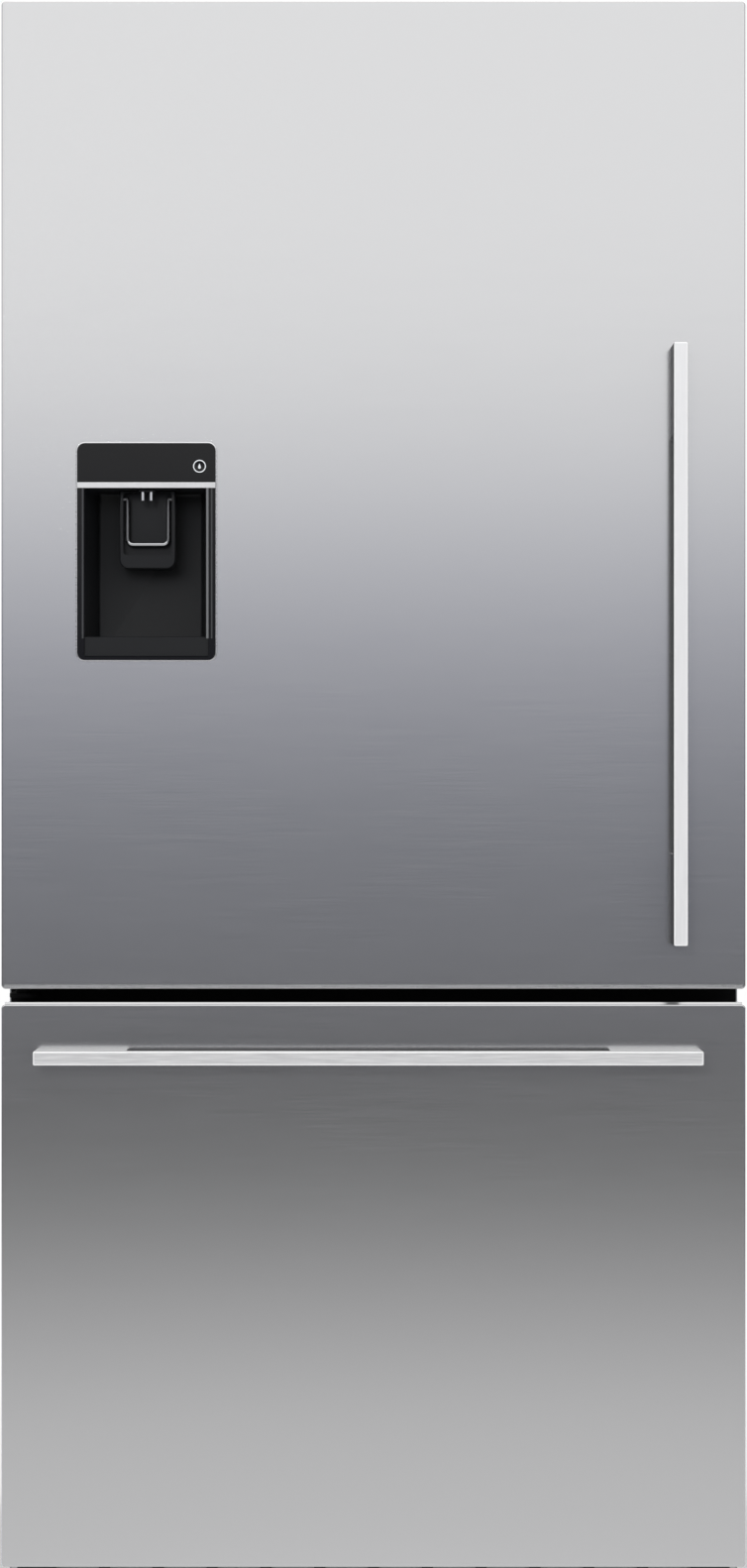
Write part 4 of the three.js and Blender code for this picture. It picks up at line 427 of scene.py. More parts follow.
def hoop(rings, name, angle):
    """A skin that closes on itself, through rings of which the last is the first again."""
    bm = ring_skin(rings, False)
    bmesh.ops.remove_doubles(bm, verts=bm.verts, dist=SAME)
    return mesh_from(bm, name, angle)


def boxes(name, blocks, width, segments=2):
    """One mesh of boxes with rounded edges, each given by its spans along x, y and z."""
    bm = bmesh.new()
    for block in blocks:
        made = bmesh.ops.create_cube(bm, size=1)["verts"]
        size = Vector([high - low for low, high in block]) * MM
        centre = Vector([middle(span) for span in block]) * MM
        bmesh.ops.transform(bm, matrix=Matrix.Translation(centre) @ Matrix.Diagonal((*size, 1)), verts=made)
    return softened_mesh(mesh_from(bm, name), name, width, segments)


def prism(name, outline, along, span, width, segments=3):
    """An outline of (a, b) points made solid along one axis, with every edge rounded."""
    rings = [[(*point[:along], end, *point[along:]) for point in outline] for end in span]
    return softened_mesh(mesh_from(ring_skin(rings), name), name, width, segments)


FACING = {
    "back": Matrix.Rotation(math.radians(-90), 4, "X"),
    "front": Matrix.Rotation(math.radians(90), 4, "X"),
    "left": Matrix.Rotation(math.radians(-90), 4, "Y"),
    "right": Matrix.Rotation(math.radians(90), 4, "Y"),
    "up": Matrix.Identity(4),
}


def at(x, y, z, facing="up"):
    """The matrix that puts a turned shape in its place, with its axis the way it faces."""
    return Matrix.Translation(Vector((x, y, z)) * MM) @ FACING[facing]


def turned(name, profile, steps=48, matrix=None, angle=32):
    """A revolved profile of (radius, height) pairs about +Z, moved into place by a matrix."""
    bm = bmesh.new()
    points = [corner_at(bm, (radius, 0, height)) for radius, height in profile]
    edges = [bm.edges.new(pair) for pair in zip(points, points[1:])]
    whole = {"axis": (0, 0, 1), "cent": (0, 0, 0), "angle": 2 * math.pi}
    bmesh.ops.spin(bm, geom=points + edges, steps=steps, use_merge=True, **whole)
    bmesh.ops.remove_doubles(bm, verts=bm.verts, dist=SAME)
    if matrix:
        bmesh.ops.transform(bm, matrix=matrix, verts=bm.verts)
    return mesh_from(bm, name, angle)


def tube(name, points, radius, sides=16):
    """A round rod along a smooth run of points, with closed ends."""
    curve = bpy.data.curves.new(name, "CURVE")
    curve.dimensions = "3D"
    spline = curve.splines.new("POLY")
    spline.points.add(len(points) - 1)
    for target, point in zip(spline.points, points):
        target.co = (*[value * MM for value in point], 1)
    curve.bevel_depth = radius * MM
    curve.bevel_resolution = max(sides // 4 - 1, 1)
    curve.use_fill_caps = True
    bm = loaded(evaluated(put(bpy.data.objects.new(name, curve)), name))
    bmesh.ops.remove_doubles(bm, verts=bm.verts, dist=SAME)
    return mesh_from(bm, name, 50)


def joined(name, meshes, angle=35):
    """Several meshes as one."""
    bm = bmesh.new()
    for mesh in meshes:
        bm.from_mesh(mesh)
    made = bpy.data.meshes.new(name)
    bm.to_mesh(made)
    bm.free()
    return shaded(made, angle)


def tub(name, x, y, z, wall, draft, radius, fillet=5):
    """An open tub with drawn-in sides, a rounded rim and rounded bottom edges."""
    soft = wall / 3
    levels = [(draft + fillet * side, z[0] + fillet * rise) for side, rise in quarter(4)]
    levels += [(0, z[1] - soft), (soft, z[1]), (wall - soft, z[1]), (wall, z[1] - soft)]
    inner = max(fillet - wall, 1)
    low = z[0] + wall
    levels += [(draft + wall + inner * side, low + inner * rise) for side, rise in quarter(4)[::-1]]
    rings = []
    for inset, height in levels:
        corner = max(radius - max(inset - draft, 0), 1)
        rings.append(level_ring(shrunk(x, inset), shrunk(y, inset), corner, height))
    return mesh_from(ring_skin(rings), name, 40)


def holed(name, levels, holes):
    """A plate that faces the front: loops of (points, y) from its face round to its back, with holes."""
    bm = ring_skin([[(a, y, b) for a, b in points] for points, y in levels], False)
    count = len(levels[0][0])
    sides =[[list(bm.verts)[:count]], [list(bm.verts)[-count:]]]
    for points in holes:
        pair = [[corner_at(bm, (a, y, b)) for a, b in points] for y in (levels[0][1], levels[-1][1])]
        for i, vert in enumerate(pair[0]):
            j = (i + 1) % len(points)
            bm.faces.new((vert, pair[0][j], pair[1][j], pair[1][i]))
        sides[0].append(pair[0])
        sides[1].append(pair[1])
    for loops in sides:
        edges = []
        for verts in loops:
            for i, vert in enumerate(verts):
                other = verts[(i + 1) % len(verts)]
                edges.append(bm.edges.get((vert, other)) or bm.edges.new((vert, other)))
        bmesh.ops.triangle_fill(bm, edges=edges, use_beauty=True)
    return mesh_from(bm, name, 40)


def round_levels(x, z, corner, y, edge, steps=4):
    """Loops for a plate whose front edge is rounded, from its face at y[0] back to y[1]."""
    insets = [(edge * FACE_MARGIN, y[0])]
    insets += [(edge * side, y[0] + edge * back) for side, back in quarter(steps)]
    levels = []
    for inset, depth in insets:
        levels.append((rounded_loop(shrunk(x, inset), shrunk(z, inset), max(corner - inset, 0.2)), depth))
    levels.append((rounded_loop(x, z, corner), y[1]))
    return levels


def fan(name, radius, hub, length, matrix):
    """Five twisted blades on a rounded hub, about +Z."""
    bore = 2.8
    profile = [
        (bore, 0), (hub - 1, 0), (hub, 1), (hub, length - 4), (hub - 1.2, length - 1.2),
        (hub - 4, length), (bore, length), (bore, 0),
    ]
    meshes = [turned(name, profile, 40, matrix)]
    rings = []
    # From root to tip the chord goes from 0.9 of the hub to 0.62 of the radius, and the pitch from
    # 0.75 to 0.36 radians.
    for step in range(9):
        share = step / 8
        reach = hub - 2 + (radius - hub + 2) * share
        chord = hub * 0.9 * (1 - share) + radius * 0.62 * share
        pitch = 0.75 - 0.39 * share
        ring = []
        for i in range(16):
            turn = i / 16 * 2 * math.pi
            along = math.cos(turn) * chord / 2
            thick = math.sin(turn) * 0.8 + 0.12 * (along**2 - (chord / 2) ** 2) / chord
            out = math.sqrt(max(reach**2 - along**2 * 0.3 * share, 0))
            across = along * math.cos(pitch) - thick * math.sin(pitch)
            ring.append((out, across, length / 2 + along * math.sin(pitch) + thick * math.cos(pitch)))
        rings.append(ring)
    for blade in range(5):
        bm = ring_skin(rings)
        spin = matrix @ Matrix.Rotation(blade * 2 * math.pi / 5, 4, "Z")
        bmesh.ops.transform(bm, matrix=spin, verts=bm.verts)
        meshes.append(mesh_from(bm, name, 60))
    return joined(name, meshes, 45)


def screws(name, facing, height, columns, count, start, column_step, row_step):
    """Rows of low domed screw heads with a socket, on one face of the cabinet."""
    radius = bpy.context.scene.fridge_sizes.screw_radius / MM
    profile = [
        (0, 0), (radius, 0), (radius * 0.94, height * 0.6), (radius * 0.7, height), (radius * 0.36, height),
        (radius * 0.3, height * 0.2), (0, height * 0.2),
    ]
    head = turned("screw_pattern", profile, 10)
    head.transform(FACING[facing])
    mesh = rows(name, head, columns, count, start, column_step, row_step, "zinc")
    return piece(name, mesh, None, "cabinet")


# ---------- Geometry nodes ----------


def rows_tree():
    """Rows and columns of one pattern mesh: a point grid by index, then instances made real."""
    tree = bpy.data.node_groups.new("rows_of_pattern", "GeometryNodeTree")
    for name, kind in (
        ("Geometry", "Geometry"), ("Pattern", "Object"), ("Columns", "Int"), ("Rows", "Int"),
        ("Start", "Vector"), ("Column step", "Vector"), ("Row step", "Vector"), ("Material", "Material"),
    ):
        tree.interface.new_socket(name, in_out="INPUT", socket_type="NodeSocket" + kind)
    tree.interface.new_socket("Geometry", in_out="OUTPUT", socket_type="NodeSocketGeometry")
    given = add(tree, "NodeGroupInput").outputs
    math_node, vector_node = "ShaderNodeMath", "ShaderNodeVectorMath"
    count = add(tree, math_node, {0: given["Columns"], 1: given["Rows"]}, operation="MULTIPLY")
    points = add(tree, "GeometryNodePoints", {"Count": count})
    index = add(tree, "GeometryNodeInputIndex")
    ratio = add(tree, math_node, {0: index, 1: given["Columns"]}, operation="DIVIDE")
    row = add(tree, math_node, {0: ratio}, operation="FLOOR")
    column = add(tree, math_node, {0: index, 1: given["Columns"]}, operation="MODULO")
    across = add(tree, vector_node, {0: given["Column step"], "Scale": column}, operation="SCALE")
    along = add(tree, vector_node, {0: given["Row step"], "Scale": row}, operation="SCALE")
    both = add(tree, vector_node, {0: across, 1: along}, operation="ADD")
    place = add(tree, vector_node, {0: both, 1: given["Start"]}, operation="ADD")
    placed = add(tree, "GeometryNodeSetPosition", {"Geometry": points, "Position": place})
    pattern = add(tree, "GeometryNodeObjectInfo", {"Object": given["Pattern"]}).outputs["Geometry"]
    copies = add(tree, "GeometryNodeInstanceOnPoints", {"Points": placed, "Instance": pattern})
    real = add(tree, "GeometryNodeRealizeInstances", {"Geometry": copies})
    painted = add(tree, "GeometryNodeSetMaterial", {"Geometry": real, "Material": given["Material"]})
    add(tree, "NodeGroupOutput", {"Geometry": painted})
    return tree


def rows(name, pattern, columns, count, start, column_step, row_step, look):
    """A plain mesh of one pattern repeated in rows, made by the tree."""
    tree = bpy.data.node_groups.get("rows_of_pattern") or rows_tree()
    source = put(bpy.data.objects.new(name + "_pattern", pattern))
    host = put(bpy.data.objects.new(name, bpy.data.meshes.new(name)))
    modifier = host.modifiers.new("rows", "NODES")
    modifier.node_group = tree
    values = {"Pattern": source, "Columns": columns, "Rows": count, "Material": finish(look)}
    for key, vector in (("Start", start), ("Column step", column_step), ("Row step", row_step)):
        values[key] = tuple(value * MM for value in vector)
    for item in tree.interface.items_tree:
        if item.in_out == "INPUT" and item.name in values:
            modifier[item.identifier] = values[item.name]
    mesh = evaluated(host, name)
    bpy.data.objects.remove(source)
    return shaded(mesh, 35)


# ---------- Sizes and colours that a user would change ----------


def length(name, default, description):
    """A length, given in millimetres and kept in metres."""
    return FloatProperty(name=name, default=default * MM, description=description, unit="LENGTH")


def tint(name, code, description):
    """A colour, given as sRGB hex."""
    settings = {"subtype": "COLOR", "size": 4, "default": colour(code)}
    return FloatVectorProperty(name=name, description=description, **settings)


class FridgeSizes(bpy.types.PropertyGroup):
    """Sizes of the finished pieces."""

    edge_radius: length("Front edge radius", 1.5, "Rounded edge round the door and the drawer")
    handle_edge: length("Handle edge radius", 1.5, "Rounded edges of the bar handles")
    trim_height: length("Shelf trim height", 13.0, "Height of the trims on the shelves' front edges")
    screw_radius: length("Screw head radius", 4.2, "Radius of the sheet-metal screws' heads")
    grid_bars: IntProperty(name="Drip grid bars", description="Bars across the drip tray", default=5, min=1)


class FridgeColours(bpy.types.PropertyGroup):
    """Colours of the main finishes."""

    steel: tint("Stainless steel", "#cdcdce", "Colour of the door and drawer fronts")
    cabinet: tint("Cabinet paint", "#85888b", "Colour of the painted sides, top and back")
    plastic: tint("Inside plastic", "#eceeef", "Colour of the liners")


# ---------- Operators ----------


class FRIDGE_OT_finishes(bpy.types.Operator):
    """Make every finish and give the frame's nodes theirs"""

    bl_idname = "fridge.finishes"
    bl_label = "Finishes"

    def execute(self, context):
        panel = context.scene.fridge_colours
        for key, (name, base, *values) in LOOKS.items():
            shade = colour(base) if base.startswith("#") else getattr(panel, base)
            FINISHES[key] = surface(name, shade, *values)
        for look, nodes in NODE_LOOKS.items():
            for node in nodes.split():
                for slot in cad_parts[node].material_slots:
                    slot.material = finish(look)
        return {"FINISHED"}


class FRIDGE_OT_stage(bpy.types.Operator):
    """Make the floor, the light and the camera"""

    bl_idname = "fridge.stage"
    bl_label = "Stage"

    def execute(self, context):
        scene = context.scene
        scene.view_settings.view_transform = "Standard"
        self.floor()
        self.world(scene)
        self.lamps()
        lens = bpy.data.cameras.new("camera")
        lens.lens = LENS
        lens.clip_end = 100
        camera = bpy.data.objects.new("camera", lens)
        camera.location = CAMERA_PLACE
        camera.rotation_euler = (math.radians(90), 0, 0)
        scene.camera = put(camera)
        return {"FINISHED"}

    def floor(self):
        """A pale floor. Mirrored in the metal it darkens with distance, as a lit floor does."""
        bm = bmesh.new()
        bmesh.ops.create_grid(bm, x_segments=2, y_segments=2, size=FLOOR_HALF)
        mesh = bpy.data.meshes.new("floor")
        bm.to_mesh(mesh)
        bm.free()
        floor = put(bpy.data.objects.new("floor", mesh))
        material = bpy.data.materials.new("pale_floor")
        tree = emptied(material)
        # The floor's glow is there only for mirrors and the camera, so it isn't sampled as a lamp.
        material.cycles.emission_sampling = "NONE"
        ray = add(tree, "ShaderNodeLightPath").outputs
        place = add(tree, "ShaderNodeTexCoord").outputs["Object"]
        reach = add(tree, "ShaderNodeVectorMath", {0: place}, operation="LENGTH").outputs["Value"]
        share = add(tree, "ShaderNodeMapRange", {"Value": reach, "From Min": 0.0, "From Max": FLOOR_REACH})
        glow = add(tree, "ShaderNodeValToRGB", {"Fac": share})
        fill_ramp(glow.color_ramp, FLOOR_LIGHT, FLOOR_REACH)
        matte = add(tree, "ShaderNodeBsdfDiffuse", {"Color": colour("#f4f4f4")})
        mirrored = add(tree, "ShaderNodeEmission", {"Color": glow, "Strength": 1.0})
        white = add(tree, "ShaderNodeEmission", {"Color": (1, 1, 1, 1), "Strength": 1.0})
        far = add(tree, "ShaderNodeMapRange", {"Value": reach, "From Min": 0.9, "From Max": 2.4})
        seen = add(tree, "ShaderNodeMath", {0: far, 1: ray["Is Camera Ray"]}, operation="MULTIPLY")
        shown = add(tree, "ShaderNodeMixShader", {0: seen, 1: matte, 2: white})
        both = add(tree, "ShaderNodeMixShader", {0: ray["Is Glossy Ray"], 1: shown, 2: mirrored})
        add(tree, "ShaderNodeOutputMaterial", {"Surface": both})
        mesh.materials.append(material)

    def world(self, scene):
        """White behind the object, even light on it, and a studio's dark-to-bright walls in its metal."""
        scene.world = bpy.data.worlds.new("studio")
        tree = emptied(scene.world)
        ray = add(tree, "ShaderNodeLightPath").outputs
        place = add(tree, "ShaderNodeTexCoord").outputs["Generated"]
        height = add(tree, "ShaderNodeSeparateXYZ", {"Vector": place}).outputs
        share = add(tree, "ShaderNodeMapRange", {"Value": height["Z"], "From Min": -0.1, "From Max": 0.4})
        walls = add(tree, "ShaderNodeValToRGB", {"Fac": share})
        fill_ramp(walls.color_ramp, WALL_LIGHT, 1.0)
        sideways = add(tree, "ShaderNodeMath", {0: height["X"]}, operation="ABSOLUTE")
        fade = {"Value": sideways, "From Min": 0.35, "From Max": 0.85, "To Min": 1.0, "To Max": 0.45}
        dim = add(tree, "ShaderNodeMapRange", fade)
        mirrored = add(tree, "ShaderNodeBackground", {"Color": walls, "Strength": dim})
        even = add(tree, "ShaderNodeBackground", {"Color": (1, 1, 1, 1), "Strength": 0.6})
        white = add(tree, "ShaderNodeBackground", {"Color": (1, 1, 1, 1), "Strength": 1.0})
        soft = add(tree, "ShaderNodeMixShader", {0: ray["Is Glossy Ray"], 1: even, 2: mirrored})
        through = {0: ray["Is Camera Ray"], 1: ray["Is Transmission Ray"]}
        seen = add(tree, "ShaderNodeMath", through, operation="MAXIMUM")
        both = add(tree, "ShaderNodeMixShader", {0: seen, 1: soft, 2: white})
        add(tree, "ShaderNodeOutputWorld", {"Surface": both})

    def lamps(self):
        """Soft lamps in front, above and behind, placed in metres. Metal doesn't mirror them."""
        for name, place, size, power in (
            ("key_lamp", (-0.9, -5.2, 2.1), 1.0, 105),
            ("fill_lamp", (3.2, -3.6, 2.4), 2.8, 30),
            ("top_lamp", (0, 1.2, 4.5), 3.0, 60),
            ("back_lamp", (1.5, 4.5, 2.6), 2.4, 60),
        ):
            light = bpy.data.lights.new(name, "AREA")
            light.shape = "SQUARE"
            light.size = size
            light.energy = power
            lamp = bpy.data.objects.new(name, light)
            lamp.location = place
            lamp.visible_glossy = False
            aim = Vector((0, 0, 0.8)) - Vector(place)
            lamp.rotation_euler = aim.to_track_quat("-Z", "Y").to_euler()
            put(lamp)


class FRIDGE_OT_fronts(bpy.types.Operator):
    """Make the folded steel fronts of the door and the drawer"""

    bl_idname = "fridge.fronts"
    bl_label = "Fronts"

    def execute(self, context):
        recess, button = spans("dispenser_recess"), spans("dispenser_button")
        hole = rounded_loop(shrunk(recess[0], -0.3), shrunk(recess[2], -0.3), 1, 2)
        reach = (button[0][1] - button[0][0]) / 2 + 1
        round_hole = circle(middle(button[0]), middle(button[2]), reach, 24)
        edge = context.scene.fridge_sizes.edge_radius / MM
        wall = 1.2
        for node, name, body, holes in (
            ("door_panel", "door_front", "upper_door", (hole, round_hole)),
            ("drawer_panel", "drawer_front", "freezer_drawer", ()),
        ):
            x, y, z = spans(node)
            levels = round_levels(x, z, 4, y, edge, 6)
            inner = rounded_loop(shrunk(x, wall), shrunk(z, wall), 2.8)
            levels += [(inner, y[1]), (inner, y[0] + wall)]
            piece(name, holed(name, levels, holes), "steel", body, (node,))
            self.edging(name, body, x, y[0], z)
        return {"FINISHED"}

    def edging(self, name, body, x, face, z):
        """A leaning strip under a fine groove along the bottom, and a trim on the drawer's top edge."""
        across = shrunk(x, 3)
        front, back = face - 0.25, face + 0.4
        bottom, top = z[0] + 0.8, z[0] + 4.4
        section = [(front, top), (front + 0.17, bottom), (back, bottom), (back, top)]
        door = name == "door_front"
        strip = prism("strip", section, 0, across, 0.05, 2)
        piece(name + "_strip", strip, "strip" if door else "steel", body)
        groove = boxes("groove", [(across, (face - 0.06, face + 0.3), (top, top + 1.1))], 0.03, 1)
        # On the door the groove takes the darker grey metal: painted shade in the joint above the strip.
        piece(name + "_groove", groove, "edge" if door else "steel", body)
        if not door:
            low, high = z[1] - 0.2, z[1] + 2.4
            section = [(face, low), (face + 5, low), (face + 5, high), (face + 1.6, high)]
            piece("drawer_top_trim", prism("trim", section, 0, shrunk(x, 3.5), 0.15, 2), "steel", body)


class FRIDGE_OT_inner_faces(bpy.types.Operator):
    """Make the moulded inner faces of the door and the drawer"""

    bl_idname = "fridge.inner_faces"
    bl_label = "Inner faces"

    def execute(self, context):
        for part, body in (("door", "upper_door"), ("drawer", "freezer_drawer")):
            node = part + "_inner"
            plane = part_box(part + "_gasket")[0].y - 3 * MM
            softened(node, node + "_moulding", "liner", body, 1.2, 4, behind=plane)
        return {"FINISHED"}


class FRIDGE_OT_gaskets(bpy.types.Operator):
    """Make the bellows gaskets"""

    bl_idname = "fridge.gaskets"
    bl_label = "Gaskets"

    def execute(self, context):
        for node, body in (("door_gasket", "upper_door"), ("drawer_gasket", "freezer_drawer")):
            x, y, z = spans(node)
            wide, deep, soft = 20, y[1] - y[0], 0.3
            section = [
                (soft, 0), (0, soft), (0, 3.9), (1.2, 4.2), (2.2, 4.9), (2.2, deep - 4.9), (1.2, deep - 4.2),
                (0, deep - 3.9), (0, deep - soft), (soft, deep), (wide - soft, deep), (wide, deep - soft),
                (wide, deep - 4), (wide - 0.8, deep / 2), (wide, 4), (wide, soft), (wide - soft, 0),
                (soft, 0),
            ]
            rings = []
            for inset, depth in section:
                corner = 8 - inset if inset < 5 else 3 + wide - inset
                across, up = shrunk(x, inset), shrunk(z, inset)
                rings.append(upright_ring(across, up, max(corner, 1), y[0] + depth, 5))
            piece(node + "_bellows", hoop(rings, node, 40), "gasket", body, (node,))
        return {"FINISHED"}


class FRIDGE_OT_handles(bpy.types.Operator):
    """Make the two bar handles"""

    bl_idname = "fridge.handles"
    bl_label = "Handles"

    def execute(self, context):
        width = context.scene.fridge_sizes.handle_edge / MM
        x, y, z = spans("door_handle")
        bar = prism("door_bar", self.outline(y, z), 0, x, width)
        piece("door_bar", bar, "bar_upright", "upper_door", ("door_handle",))
        self.paint_shade_and_highlight(bar, 2)
        x, y, z = spans("drawer_handle")
        across = [(b, a) for a, b in self.outline(y, x)]
        bar = prism("drawer_bar", across[::-1], 2, z, width)
        piece("drawer_bar", bar, "bar_level", "freezer_drawer", ("drawer_handle",))
        self.paint_shade_and_highlight(bar, 0.5)
        return {"FINISHED"}

    def paint_shade_and_highlight(self, mesh, rise):
        """Paints a highlight on the front's rounded edges and shade on the sides that point up less than
        rise.
        """
        # The sides get painted shade and the rounded front edges a painted highlight.
        mesh.materials.append(finish("bar_painted_shade"))
        mesh.materials.append(finish("bar_painted_highlight"))
        front = min(corner.co.y for corner in mesh.vertices) + 0.02 * MM
        for face in mesh.polygons:
            if face.normal.y < -0.25:
                face.material_index = 0 if face.center.y < front else 2
            elif face.normal.z < rise:
                face.material_index = 1

    def outline(self, depth, along):
        """A bar with a long foot at each end, as (depth, along) points."""
        front, back = depth
        foot, gap, soft = 97, front + 13, 4
        start, end = shrunk(along, foot)
        lower = [(gap + soft * b, start + soft * a) for a, b in quarter(4)]
        upper = [(gap + soft * a, end - soft * b) for a, b in quarter(4)]
        return [
            (front, along[0]), (back, along[0]), (back, start), *lower[::-1], *upper[::-1], (back, end),
            (back, along[1]), (front, along[1]),
        ]


class FRIDGE_OT_dispenser(bpy.types.Operator):
    """Make the water dispenser"""

    bl_idname = "fridge.dispenser"
    bl_label = "Dispenser"

    def execute(self, context):
        body = "upper_door"
        self.face(body)
        self.cavity(body)
        self.housing(body)
        self.tray(context, body)
        # The band's slow changes of tone are a painted reflection.
        band = boxes("dispenser_band", [spans("dispenser_strip")], 0.3)
        piece("dispenser_band", band, "band", body, ("dispenser_strip",))
        self.rim(body)
        self.trims(body)
        self.button()
        self.lever()
        self.nozzles(body)
        return {"FINISHED"}

    def face(self, body):
        """The polished black face, with its window and the button's hole."""
        x, y, z = spans("dispenser_bezel")
        recess, button = spans("dispenser_recess"), spans("dispenser_button")
        opening = (recess[2][0] + 2, spans("dispenser_strip")[2][0] - 0.5)
        window = rounded_loop(shrunk(recess[0], 2), opening, 1.5, 3)
        hole = circle(middle(button[0]), middle(button[2]), BUTTON_RADIUS + 0.3, 40)
        mesh = holed("dispenser_face", round_levels(x, z, 8.7, y, 0.5), (window, hole))
        piece("dispenser_face", mesh, "gloss_black", body, ("dispenser_bezel",))

    def cavity(self, body):
        """A thin tub whose sides draw in towards its back."""
        x, y, z = spans("dispenser_recess")
        wall, draft = 2, 10
        rings = []
        for inset, rise, depth, corner in (
            (draft, 0, y[1], 4),
            (0, 0, y[0], 1),
            (wall, wall, y[0], 1),
            (wall + draft * 0.96, wall, y[1] - wall - 2.4, 3),
            (wall + draft + 0.3, wall + 0.7, y[1] - wall - 0.7, 3),
            (wall + draft + 2.2, wall + 2.4, y[1] - wall, 2),
        ):
            rings.append(upright_ring(shrunk(x, inset), shrunk(z, rise), corner, depth))
        mesh = mesh_from(ring_skin(rings), "dispenser_cavity", 50)
        piece("dispenser_cavity", mesh, "cavity", body, ("dispenser_recess",))

    def housing(self, body):
        """The spout housing, with a deep pocket for the lever."""
        x, y, z = spans("spout_housing")
        edge, corner, pocket_end = 1.4, 9.5, y[0] + 24

        def outline(inset):
            points = [(x[1] - inset, z[1] - inset), (x[0] + inset, z[1] - inset)]
            radius = corner - inset
            for centre, start in ((x[0] + corner, 180), (x[1] - corner, 270)):
                for step in range(9):
                    turn = math.radians(start + step * 90 / 8)
                    points.append((centre + radius * math.cos(turn), z[0] + corner + radius * math.sin(turn)))
            return points

        levels = [(outline(edge * FACE_MARGIN), y[0])]
        levels += [(outline(edge * side), y[0] + edge * back) for side, back in quarter(4)]
        levels.append((outline(0), pocket_end))
        pocket = rounded_loop(shrunk(x, 4), (z[0] + 14, z[1] - 1.6), 4, 5)
        shell = holed("shell", levels, (pocket,))
        rings = [[(a, depth, b) for a, b in outline(0)] for depth in (pocket_end, y[1])]
        mesh = joined("spout_body", [shell, mesh_from(ring_skin(rings), "core")], 40)
        piece("spout_body", mesh, "housing", body, ("spout_housing",))

    def tray(self, context, body):
        """The drip tray: a shallow tub under level bars."""
        x, y, z = spans("drip_tray")
        wall, lean, soft = 2.2, 6.4, 0.5
        rings = []
        for inset, height in (
            (soft, z[0]), (0, z[0] + soft), (0, z[1] - soft), (soft, z[1]), (wall - soft, z[1]),
            (wall, z[1] - soft), (wall, z[0] + wall),
        ):
            front, back = shrunk(y, inset)
            corners = [(a, front) for a in shrunk(x, inset)]
            corners += [(a, back) for a in shrunk(x, inset + lean)[::-1]]
            rings.append([(*corner, height) for corner in corners])
        meshes = [mesh_from(ring_skin(rings), "tray", 40)]
        count = context.scene.fridge_sizes.grid_bars
        places = [y[0] + number * (y[1] - y[0]) / (count + 1) for number in range(1, count + 1)]
        bars = [(shrunk(x, 9), (place - 1.4, place + 1.4), (z[1] - 4, z[1] - 1.2)) for place in places]
        for side in (-26, 26):
            centre = middle(x) + side
            bars.append(((centre - 1.1, centre + 1.1), shrunk(y, 1), (z[1] - 6, z[1] - 3)))
        meshes.append(boxes("bars", bars, 0.7))
        piece("drip_grid", joined("drip_grid", meshes), "cavity", body, ("drip_tray",))

    def rim(self, body):
        """A thin bright rim round the black face."""
        x, y, z = spans("dispenser_bezel")
        wide = 1.3
        rings = []
        for inset, depth in (
            (0, y[1]), (0, y[0] + 0.4), (0.4, y[0]), (wide, y[0]), (wide, y[1]), (0, y[1]),
        ):
            rings.append(upright_ring(shrunk(x, inset - 0.9), shrunk(z, inset - 0.9), 9.6 - inset, depth, 8))
        piece("dispenser_rim", hoop(rings, "dispenser_rim", 50), "strip", body)

    def trims(self, body):
        """Upright grey metal strips on the window's edges, painted highlights of those edges: two dimmed and
        one brighter.
        """
        x, y = spans("dispenser_bezel")[:2]
        depth = (y[0] - 0.5, y[0] + 0.1)
        height = (spans("drip_tray")[2][1] - 2, spans("dispenser_strip")[2][0])
        left, right = x[0] + 5.4, x[1] - 10.6
        # Painted highlights: the strips stand for light caught on the window's edges.
        dull = [((left, left + 2), depth, height), ((right + 5, right + 6.8), depth, height)]
        piece("dispenser_dull_edges", boxes("dull_edges", dull, 0.25), "edge_dark", body)
        bright = boxes("bright_edge", [((right, right + 2.6), depth, height)], 0.25)
        piece("dispenser_bright_edge", bright, "edge", body)

    def button(self):
        """The push button: a shallow dish with a printed ring and a drop."""
        x, y, z = spans("dispenser_button")
        radius, depth = BUTTON_RADIUS, y[1] - y[0]
        into = at(middle(x), y[0], middle(z), "back")
        profile = [
            (0, 0.25), (radius - 2.2, 0.12), (radius - 0.6, 0), (radius, 0.5), (radius, 3), (9, 3), (9, 4.4),
            (4, 4.4), (4, depth), (0, depth),
        ]
        cap = turned("button_cap", profile, matrix=into)
        piece("button_cap", cap, "gloss_black", "button", ("dispenser_button",))
        band = [
            (radius - 1.65, -0.02), (radius - 0.55, -0.05), (radius - 0.5, 0.1), (radius - 1.7, 0.14),
            (radius - 1.65, -0.02),
        ]
        ring = turned("ring", band, matrix=into)
        drop = []
        for step in range(24):
            turn = step / 24 * 2 * math.pi
            slim = math.cos(turn / 2) ** 2
            drop.append((2.1 * math.sin(turn) * (1 - slim * 0.75), 2.7 * math.cos(turn)))
        levels = [[(middle(x) + a, y[0] + sunk, middle(z) + b) for a, b in drop] for sunk in (0.3, 0.08)]
        symbol = joined("button_symbol", [ring, mesh_from(ring_skin(levels), "drop")])
        piece("button_symbol", symbol, "print", "button")

    def lever(self):
        """One bent rod: a U whose ends turn out into the housing's cheeks. Its lowest part is bright chrome,
        and the legs a duller grey metal, painted shade of the dark cavity they mirror.
        """
        x, y, z = spans("dispenser_lever")
        radius = (y[1] - y[0]) / 2
        top, bottom, bend = z[1] - radius, z[0] + radius, 6
        left, right = middle(x) - 22, middle(x) + 22

        def arc(centre, start):
            turns = [math.radians(start + 90 * step / 8) for step in range(9)]
            return [(centre + bend * math.cos(a), bottom + bend + bend * math.sin(a)) for a in turns]

